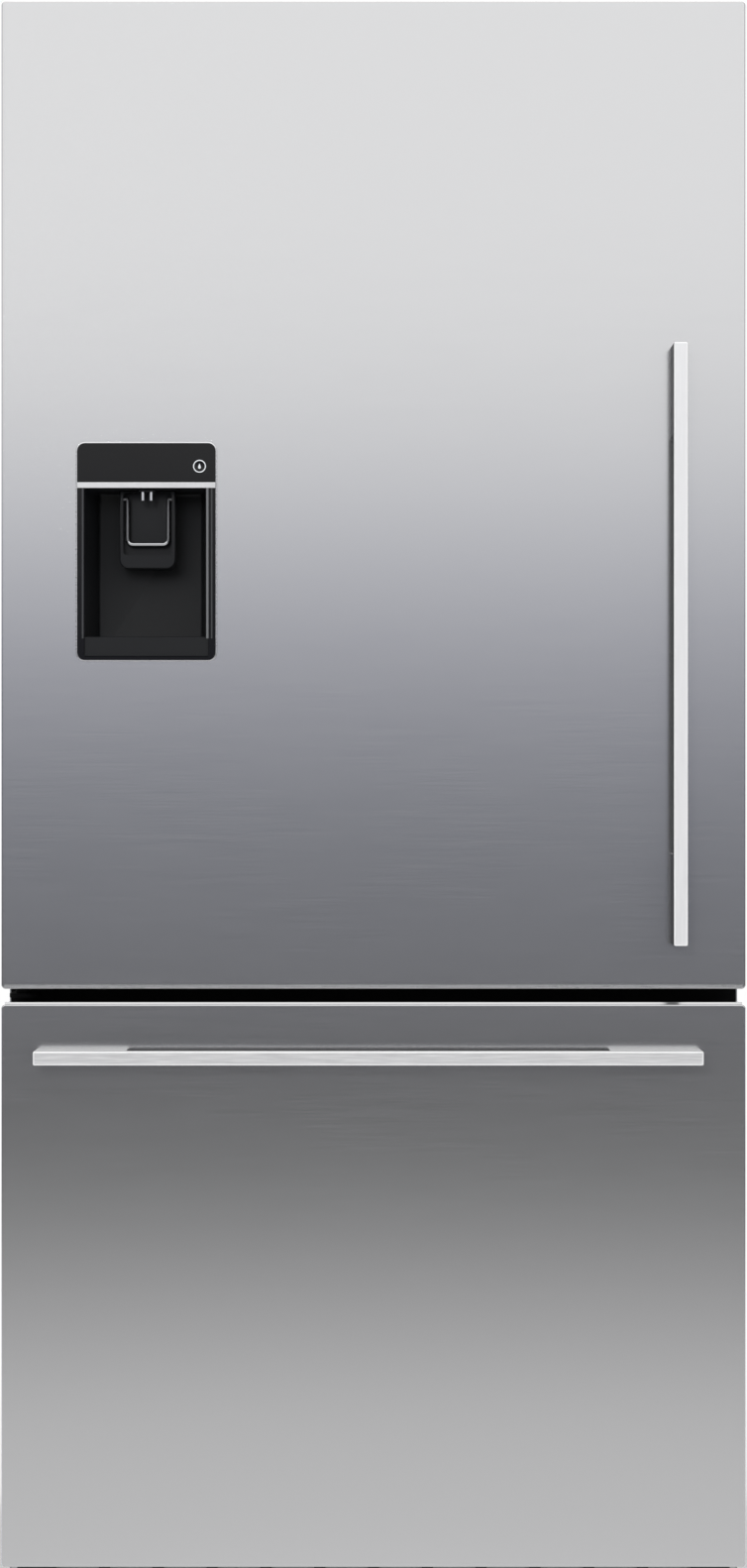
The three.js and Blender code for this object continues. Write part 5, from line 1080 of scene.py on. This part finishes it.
        points = [
            (x[0], top), (left - 1, top), (left - 0.2, top - 0.5), (left, top - 1.4), *arc(left + bend, 180),
            *arc(right - bend, 270), (right, top - 1.4), (right + 0.2, top - 0.5), (right + 1, top),
            (x[1], top),
        ]
        mesh = tube("lever_rod", [(a, middle(y), b) for a, b in points], radius, 24)
        piece("lever_rod", mesh, "chrome", "lever", ("dispenser_lever",))
        # Painted shade: the legs above the bottom bar get the duller grey metal.
        mesh.materials.append(finish("edge"))
        for face in mesh.polygons:
            if face.center.z > (bottom + 3) * MM:
                face.material_index = 1

    def nozzles(self, body):
        """Two bright tubes under a small bridge."""
        x, y, z = spans("dispenser_nozzle")
        bridge = boxes("bridge", [(x, y, (z[1] - 2.5, z[1]))], 0.8)
        piece("nozzle_bridge", bridge, "housing", body)
        radius, bore = 2.1, 1.4
        profile = [
            (bore, z[1] - 4), (bore, z[0] + 0.3), (bore + 0.3, z[0]), (radius, z[0] + 0.3),
            (radius, z[1] - 1), (bore, z[1] - 1), (bore, z[1] - 4),
        ]
        tubes = [turned("nozzle", profile, 32, at(middle(x) + side, middle(y), 0)) for side in (-4.5, 4.5)]
        mesh = joined("nozzle_tubes", tubes)
        piece("nozzle_tubes", mesh, "chrome", body, ("dispenser_nozzle",))


class FRIDGE_OT_hinges(bpy.types.Operator):
    """Make the hinges and their cover"""

    bl_idname = "fridge.hinges"
    bl_label = "Hinges"

    def execute(self, context):
        # Painted shade: the middle hinge sits in the gap and is made near black.
        softened("hinge_middle", "middle_hinge", "matt_black", "cabinet", 0.5)
        softened("hinge_top", "top_hinge", "zinc", "cabinet", 0.5)
        softened("hinge_top_cover", "top_hinge_cover", "black_plastic", "cabinet", 1.0, 3)
        x, y = spans("hinge_top")[:2]
        start = (x[1] - 12, y[1] - 60, spans("cabinet_wrapper")[2][1] + 3.3)
        screws("top_hinge_screws", "up", 2.2, 1, 2, start, (0, 0, 0), (0, 40, 0))
        return {"FINISHED"}


class FRIDGE_OT_liners(bpy.types.Operator):
    """Make the formed liners with their shelf ledges"""

    bl_idname = "fridge.liners"
    bl_label = "Liners"

    def execute(self, context):
        self.fridge_liner()
        softened("freezer_liner", "freezer_lining", "liner", "cabinet", 1.0, 3)
        return {"FINISHED"}

    def fridge_liner(self):
        """A flange round a rounded mouth, then walls that round off into the back."""
        flange_x, y, flange_z = spans("fridge_liner")
        wall = 2.2
        x = (-346.2, 346.2)
        z = (spans("crisper_cover")[2][0] - 2.5, spans("lamp_cover")[2][1] + 2.5)
        rings = [
            upright_ring(x, z, 14, y[1], 10),
            upright_ring(x, z, 16, y[0] + wall, 10),
            upright_ring(flange_x, flange_z, 0.6, y[0] + wall, 10),
            upright_ring(flange_x, flange_z, 0.6, y[0] + 0.4, 10),
            upright_ring(shrunk(flange_x, 0.4), shrunk(flange_z, 0.4), 0.5, y[0], 10),
        ]
        mouth = [(-3 * side, 14 + 3 * side, y[0] + 3 * back) for side, back in quarter(4)]
        end = [(9 * side, 14 - 5.4 * side, y[1] - wall - 9 * back) for back, side in quarter(5)]
        for inset, corner, depth in mouth + end:
            rings.append(upright_ring(shrunk(x, wall + inset), shrunk(z, wall + inset), corner, depth, 10))
        lining = mesh_from(ring_skin(rings), "fridge_lining", 50)
        piece("fridge_lining", lining, "liner", "cabinet", ("fridge_liner",))
        depth = shrunk(spans("shelf_middle")[1], -6)
        lowest = spans("crisper_cover")[2][1] - 5.3
        ledges = []
        for side in (-1, 1):
            for rise in (0, 114.9, 229.9, 354.9, 479.9, 604.9):
                top = lowest + rise
                ledges.append((sorted((side * 334, side * 344.4)), depth, (top - 6, top)))
        piece("shelf_ledges", boxes("shelf_ledges", ledges, 2.2, 4), "liner", "cabinet")


class FRIDGE_OT_shelves(bpy.types.Operator):
    """Make the glass shelves with their trims, and the cover over the crispers"""

    bl_idname = "fridge.shelves"
    bl_label = "Shelves"

    def execute(self, context):
        for node in ("shelf_middle", "shelf_upper"):
            x, y, z = spans(node)
            pane = boxes(node, [(x, y, z)], 0.8, 3)
            piece(node + "_pane", pane, "glass", "cabinet", (node,))
            self.trims(context, node, x, y, z[1] - 5)
        x, y, z = spans("crisper_cover")
        pane = boxes("cover", [(x, y, (z[1] - 5, z[1]))], 0.8, 3)
        piece("crisper_cover_pane", pane, "glass", "cabinet", ("crisper_cover",))
        self.trims(context, "crisper_cover", x, y, z[1] - 5)
        web = ((-2, 2), (y[0] + 20, y[1] - 10), (z[0], z[1] - 4.5))
        piece("crisper_web", boxes("crisper_web", [web], 0.8, 3), "white_plastic", "cabinet")
        return {"FINISHED"}

    def trims(self, context, name, x, y, bottom):
        """A trim along the front edge, and one along the back edge."""
        height = context.scene.fridge_sizes.trim_height / MM
        across = shrunk(x, 1)
        front = (across, (y[0] - 3, y[0] + 7), (bottom - 4, bottom - 4 + height))
        back = (across, (y[1] - 9, y[1] - 0.2), (bottom - 1.5, bottom + 12))
        piece(name + "_trims", boxes(name + "_trims", [front, back], 1.8, 4), "white_plastic", "cabinet")


class FRIDGE_OT_tubs(bpy.types.Operator):
    """Make the crispers, the door bins, the freezer bin and its tray"""

    bl_idname = "fridge.tubs"
    bl_label = "Tubs"

    def execute(self, context):
        for side in ("left", "right"):
            node = "crisper_" + side
            x, y, z = spans(node)
            front, top = y[0] + 9, z[1]
            shell = tub(node, x, (front, y[1]), z, 2.4, 9, 16, 8)
            pull = [
                (front + 0.6, top - 26), (front + 0.6, top - 0.6), (y[0], top - 0.6), (y[0], top - 5),
                (y[0] + 6, top - 9),
            ]
            grip = prism("pull", pull, 0, shrunk(x, 30), 1.2)
            mesh = joined(node + "_tub", [shell, grip], 40)
            piece(node + "_tub", mesh, "clear", "vegetable_" + side, (node,))
        for node in ("door_bin_lower", "door_bin_middle", "door_bin_upper"):
            x, y, z = spans(node)
            shell = tub(node, x, y, z, 2.4, 5, 18, 7)
            piece(node + "_tub", shell, "clear", "upper_door", (node,))
            piece(node + "_band", self.band(node, x, y, z[1]), "white_plastic", "upper_door")
        self.freezer_bin()
        self.freezer_tray()
        return {"FINISHED"}

    def band(self, name, x, y, top):
        """A white band round the top of a door bin."""
        rings = []
        for inset, rise in (
            (2.4, -13), (-0.1, -13), (-0.15, -12.6), (-0.15, -0.2), (0.2, 0.15), (2.3, 0.15), (2.6, -0.2),
            (2.6, -12.6), (2.4, -13),
        ):
            corner = 18 - max(inset, 0)
            rings.append(level_ring(shrunk(x, inset), shrunk(y, inset), corner, top + rise, 8))
        return hoop(rings, name + "_band", 40)

    def freezer_bin(self):
        """The bin's shoulders hang on the runners' cradles; below them its sides draw in."""
        x, y, z = spans("freezer_bin")
        wall, shoulder, slim, soft = 2.4, 346.1, 15.5, 0.8
        floor = slim + 12
        levels = [(floor + 6 * side, 8, z[0] + 6 * rise) for side, rise in quarter(4)]
        levels += [
            (slim, 0, shoulder), (0.5, 0, shoulder + 1.5), (0, 0, shoulder + 2.5), (0, 0, z[1] - soft),
            (soft, soft, z[1]), (wall - soft, wall - soft, z[1]), (wall, wall, z[1] - soft),
            (wall, wall, shoulder + 1.5 + wall), (slim + wall, wall, shoulder + wall),
        ]
        levels += [(floor + wall + 5 * a, 8 + wall, z[0] + wall + 5 * b) for a, b in quarter(4)[::-1]]
        rings = [level_ring(shrunk(x, inset), shrunk(y, ends), 13, rise, 8) for inset, ends, rise in levels]
        mesh = mesh_from(ring_skin(rings), "freezer_basket", 35)
        piece("freezer_basket", mesh, "white_plastic", "freezer_drawer", ("freezer_bin",))

    def freezer_tray(self):
        """A shallow tub with a lip along each side, which slides on the bin's rims."""
        x, y, z = spans("freezer_tray")
        rim = spans("freezer_bin")[2][1] + 0.3
        shell = tub("tray", (-321.2, 321.2), shrunk(y, 14), z, 2.4, 4, 12, 6)
        lips = [(sorted((side * 320, side * x[1])), y, (rim, z[1])) for side in (-1, 1)]
        mesh = joined("sliding_tray", [shell, boxes("lips", lips, 0.8, 3)], 40)
        piece("sliding_tray", mesh, "white_plastic", "tray", ("freezer_tray",))


class FRIDGE_OT_cold_air(bpy.types.Operator):
    """Make the air duct, the lamp, the filter and the evaporator with its fan"""

    bl_idname = "fridge.cold_air"
    bl_label = "Cold air parts"

    def execute(self, context):
        white = "white_plastic"
        softened("fridge_duct", "air_duct", white, "cabinet", 1.6, 4)
        self.lamp()
        self.filter()
        softened("evaporator_cover", "freezer_back_wall", white, "cabinet", 0.7, angle=50)
        x, y, z = spans("evaporator_fan")
        wheel = fan("freezer_fan", 42, 14, y[1] - y[0], at(middle(x), y[0], middle(z), "back"))
        piece("freezer_fan", wheel, "nylon", "evaporator_rotor", ("evaporator_fan",))
        self.evaporator()
        return {"FINISHED"}

    def lamp(self):
        """A shallow domed lens."""
        x, y, z = spans("lamp_cover")
        rings = []
        for inset, rise, corner in (
            (10, 0, 6), (6, 0.6, 8), (3, 2, 10), (1.5, 4, 12), (0.6, 7, 13), (0, 10, 14),
        ):
            rings.append(level_ring(shrunk(x, inset), shrunk(y, inset), corner, z[0] + rise, 8))
        lens = mesh_from(ring_skin(rings), "lamp_lens", 40)
        piece("lamp_lens", lens, "opal", "cabinet", ("lamp_cover",))

    def filter(self):
        """A cartridge with a ribbed grip at its front end."""
        x, y, z = spans("water_filter")
        r, length = (x[1] - x[0]) / 2, y[1] - y[0]
        place = at(middle(x), y[1], middle(z), "front")
        profile = [
            (0, 0), (r - 1, 0), (r, 1), (r, 147), (r - 1.2, 150), (r - 3.6, 155), (r - 4, 156), (r - 4, 160),
            (r - 3, 162), (r - 3, length - 7), (r - 4.5, length - 2.5), (r - 8, length), (0, length),
        ]
        meshes = [turned("filter", profile, 64, place)]
        for number in range(24):
            rib = boxes("rib", [((r - 5, r - 1), (-1.1, 1.1), (164, length - 7))], 0.9)
            rib.transform(place @ Matrix.Rotation(number * math.pi / 12, 4, "Z"))
            meshes.append(rib)
        mesh = joined("filter_cartridge", meshes, 40)
        piece("filter_cartridge", mesh, "white_plastic", "cabinet", ("water_filter",))

    def evaporator(self):
        """Thin fins on level tubes."""
        x, y, z = spans("evaporator")
        fin = boxes("fin", [((0, 0.5), y, z)], 0.1, 1)
        count = 61
        pitch = (x[1] - x[0] - 0.5) / (count - 1)
        meshes = [rows("fins", fin, count, 1, (x[0], 0, 0), (pitch, 0, 0), (0, 0, 0), "aluminium")]
        for depth in (24, 58):
            for rise in (20, 50, 80, 110, 140):
                meshes.append(tube("tube", [(end, y[0] + depth, z[0] + rise) for end in x], 4, 12))
        mesh = joined("evaporator_fins", meshes)
        piece("evaporator_fins", mesh, "aluminium", "cabinet", ("evaporator",))


class FRIDGE_OT_machine_space(bpy.types.Operator):
    """Make the compressor, the condenser with its fan, the drain pan and the water valve"""

    bl_idname = "fridge.machine_space"
    bl_label = "Machine space"

    def execute(self, context):
        white, dark = "white_plastic", "satin_black"
        self.compressor()
        self.condenser()
        softened("condenser_fan_mount", "fan_plate", "black_plastic", "cabinet", 0.6, angle=50)
        x, y, z = spans("condenser_fan")
        wheel = fan("cooling_fan", 56, 16, x[1] - x[0], at(x[1], middle(y), middle(z), "left"))
        piece("cooling_fan", wheel, "nylon", "condenser_rotor", ("condenser_fan",))
        pan = tub("drain_tub", *spans("drain_pan"), 2.4, 4, 12)
        piece("drain_tub", pan, "black_plastic", "cabinet", ("drain_pan",))
        softened("water_valve", "inlet_valve", white, "cabinet", 0.7, angle=50)
        return {"FINISHED"}

    def compressor(self):
        """A seamed pot on a plate, with its terminal box, rubber mounts and copper stubs."""
        depth, height = spans("compressor")[1:]
        x, y, base = 200, middle(depth), height[0] - 0.3
        r = 72
        profile = [
            (0, 10), (r * 0.55, 10.6), (r * 0.78, 18), (r * 0.92, 31), (r * 0.985, 46), (r, 58), (r, 82),
            (r + 3.4, 83), (r + 4, 84), (r + 4, 87), (r + 3.4, 88), (r, 89), (r, 116), (r * 0.975, 128),
            (r * 0.9, 140), (r * 0.76, 150), (r * 0.55, 158.5), (r * 0.28, 163.5), (0, 165),
        ]
        plate = boxes("plate", [((x - 95, x + 95), (y - 66, y + 66), (base + 9, base + 14))], 1.5, 3)
        box = boxes("box", [((x + r - 12, x + r + 22), (y - 22, y + 22), (base + 62, base + 112))], 4, 4)
        pot = joined("compressor_pot", [turned("pot", profile, 64, at(x, y, base)), plate, box], 30)
        piece("compressor_pot", pot, "black_paint", "cabinet", ("compressor",))
        mount = [(0, 0.3), (9, 0.3), (10, 1.5), (8, 4.5), (8, 6), (9.4, 9), (0, 9)]
        places = [at(x + across, y + along, base) for across in (-82, 82) for along in (-53, 53)]
        mounts = [turned("mount", mount, 24, place) for place in places]
        piece("compressor_mounts", joined("compressor_mounts", mounts), "rubber", "cabinet")
        stubs = []
        for along in (-30, 30):
            stubs.append(tube("stub", [(x - 30, y + along, base + rise) for rise in (140, 195)], 4, 20))
        piece("compressor_stubs", joined("compressor_stubs", stubs), "copper", "cabinet")

    def condenser(self):
        """One tube in level runs, between two tube sheets, with upright wires for fins."""
        low, high = spans("condenser_coil")[2]
        start, end = -357.5, -150
        front, back = 262, 298
        heights = [92 + 48 * level for level in range(4)]
        points = []

        def bend(heading, x, y, z, radius, climb):
            """A half turn past the end of a run, round (y, z), which climbs along y and z."""
            for step in range(1, 9):
                turn = step / 9 * math.pi - math.pi / 2
                out, up = radius * math.cos(turn), radius * math.sin(turn)
                points.append((x + heading * out, y + climb[0] * up, z + climb[1] * up))

        heading = 1
        for y, order in ((front, heights), (back, heights[::-1])):
            way = 1 if y == front else -1
            for number, z in enumerate(order):
                ends = (start, end)[::heading]
                points += [(ends[0], y, z), (ends[1], y, z)]
                if number < 3:
                    bend(heading, ends[1], y, z + way * 24, 24, (0, way))
                elif y == front:
                    bend(heading, ends[1], (front + back) / 2, z, 18, (1, 0))
                heading = -heading
        coil = tube("coil", points, 4)
        sheets = [((x, x + 2), (front - 22, back + 22), (low, high)) for x in (start + 2, end - 4)]
        mesh = joined("condenser_tube", [coil, boxes("sheets", sheets, 0.4)], 40)
        piece("condenser_tube", mesh, "black_paint", "cabinet", ("condenser_coil",))
        wire = tube("wire", [(0, 0, low + 6), (0, 0, high - 4)], 0.7, 8)
        across, along = (8, 0, 0), (0, 9.4, 0)
        corner = (start + 12, front - 4.7, 0)
        mesh = rows("condenser_wires", wire, 24, 4, corner, across, along, "black_paint")
        # The wires stand on both sides of both tube rows: the back two rows move on to the back tubes.
        for vert in mesh.vertices:
            if vert.co.y > (front + 9) * MM:
                vert.co.y += (back - front - 2 * along[1]) * MM
        piece("condenser_wires", mesh, None, "cabinet")


class FRIDGE_OT_back(bpy.types.Operator):
    """Make the slotted rear cover and the screws of the back"""

    bl_idname = "fridge.back"
    bl_label = "Back"

    def execute(self, context):
        x, y, z = spans("machine_cover")
        face = y[1] - 0.5
        # The slots stand in five columns and five rows.
        pitch, row, lowest = 112, 28, z[0] + 64
        holes = []
        for level in range(5):
            for number in range(-2, 3):
                across, up = number * pitch, lowest + level * row
                holes.append(rounded_loop((across - 45, across + 45), (up - 5, up + 5), 4.9, 4))
        round_holes = ((367.5, 178, 14.5), (-349.5, 70, 6))
        holes += [circle(*spot, 32) for spot in round_holes]
        loop = rounded_loop(x, z, 2)
        plate = holed("rear_cover", [(loop, face - 0.7), (loop, face)], holes)
        cover = joined("rear_cover", [plate, *[self.rim(*spot, face) for spot in round_holes]], 40)
        piece("rear_cover", cover, "black_plastic", "cabinet", ("machine_cover",))
        hood = boxes("hood", [((-45, 45), (face - 0.6, y[1]), (-1, 1))], 0.4)
        start = (-2 * pitch, 0, lowest + 6.4)
        mesh = rows("slot_hoods", hood, 5, 5, start, (pitch, 0, 0), (0, 0, row), "black_plastic")
        piece("slot_hoods", mesh, None, "cabinet")
        start = (x[0] + 15, face - 0.1, z[0] + 12)
        step = ((x[1] - x[0] - 30) / 4, 0, 0)
        screws("cover_screws", "back", 0.55, 5, 2, start, step, (0, 0, z[1] - z[0] - 24))
        x, y, z = spans("rear_panel")
        start = (x[0] + 9, y[1] - 0.8, z[0] + 40)
        step = (0, 0, (z[1] - z[0] - 80) / 5)
        screws("panel_screws", "back", 0.75, 2, 6, start, (x[1] - x[0] - 18, 0, 0), step)
        return {"FINISHED"}

    def rim(self, x, z, radius, face):
        """A raised rim round a hole."""
        inner = radius - 0.2
        profile = [
            (inner, -6), (inner, 0.1), (radius + 0.2, 0.5), (radius + 2, 0.5), (radius + 2.6, 0),
            (radius + 1.4, -6), (inner, -6),
        ]
        return turned("rim", profile, 32, at(x, face, z, "back"))


class FRIDGE_OT_base(bpy.types.Operator):
    """Make the feet, the rollers and the grille under the drawer"""

    bl_idname = "fridge.base"
    bl_label = "Base"

    def execute(self, context):
        softened("base_grille", "lower_grille", "black_plastic", "cabinet", 0.5)
        for side in ("left", "right"):
            node, name = "foot_front_" + side, "levelling_foot_" + side
            x, y, z = spans(node)
            mesh = self.foot(name, z[1], at(middle(x), middle(y), 0))
            piece(name, mesh, "nylon", "foot_" + side, (node,))
            node, name = "roller_rear_" + side, "rear_roller_" + side
            mesh = self.roller(name, at(*map(middle, spans(node)), "right"))
            piece(name, mesh, "nylon", "roller_" + side, (node,))
        return {"FINISHED"}

    def foot(self, name, top, place):
        """A round pad, a hexagon for a spanner and a threaded stud."""
        pad = [(0, 0), (16.6, 0), (17.6, 0.5), (18, 1.5), (18, 4.4), (17, 5.4), (10.5, 8), (0, 8)]
        hexagon = [(0, 7), (8.2, 7), (9, 7.8), (9, 16.2), (8.2, 17), (0, 17)]
        thread = [(0, 16)]
        height = 16
        while height < top - 2:
            thread += [(4.3, height), (5, height + 0.7)]
            height += 1.5
        thread += [(4.3, height), (3.8, top), (0, top)]
        shapes = (("pad", pad, 48), ("hexagon", hexagon, 6), ("stud", thread, 24))
        return joined(name, [turned(*shape, place) for shape in shapes], 30)

    def roller(self, name, place):
        """A rounded tyre with a dished hub."""
        half = 8
        profile = [
            (3.3, -half), (6, -half), (6.6, -half + 0.6), (6.9, -half + 2), (12, -half + 2),
            (12.4, -half + 0.4), (13, -half), (14.6, -half), (15.7, -half + 0.8), (16, -half + 2),
        ]
        mirrored = [(radius, -height) for radius, height in profile[::-1]]
        return turned(name, profile + mirrored + profile[:1], 56, place, 30)


class FRIDGE_PT_panel(bpy.types.Panel):
    """Lists the operators and the sizes and colours"""

    bl_idname = "FRIDGE_PT_panel"
    bl_label = "Refrigerator"
    bl_space_type = "VIEW_3D"
    bl_region_type = "UI"
    bl_category = "Refrigerator"

    def draw(self, context):
        for group in (context.scene.fridge_sizes, context.scene.fridge_colours):
            for key in group.__annotations__:
                self.layout.prop(group, key)
        for step in OPERATORS:
            self.layout.operator(step.bl_idname)


OPERATORS = (
    FRIDGE_OT_finishes, FRIDGE_OT_fronts, FRIDGE_OT_inner_faces, FRIDGE_OT_gaskets, FRIDGE_OT_handles,
    FRIDGE_OT_dispenser, FRIDGE_OT_hinges, FRIDGE_OT_liners, FRIDGE_OT_shelves, FRIDGE_OT_tubs,
    FRIDGE_OT_cold_air, FRIDGE_OT_machine_space, FRIDGE_OT_back, FRIDGE_OT_base, FRIDGE_OT_stage,
)
CLASSES = (FridgeSizes, FridgeColours, *OPERATORS, FRIDGE_PT_panel)


def register():
    for item in CLASSES:
        bpy.utils.register_class(item)
    bpy.types.Scene.fridge_sizes = PointerProperty(type=FridgeSizes)
    bpy.types.Scene.fridge_colours = PointerProperty(type=FridgeColours)


def unregister():
    del bpy.types.Scene.fridge_colours
    del bpy.types.Scene.fridge_sizes
    for item in reversed(CLASSES):
        bpy.utils.unregister_class(item)


def main():
    register()
    for step in OPERATORS:
        group, name = step.bl_idname.split(".")
        getattr(getattr(bpy.ops, group), name)()


if __name__ == "__main__":
    main()
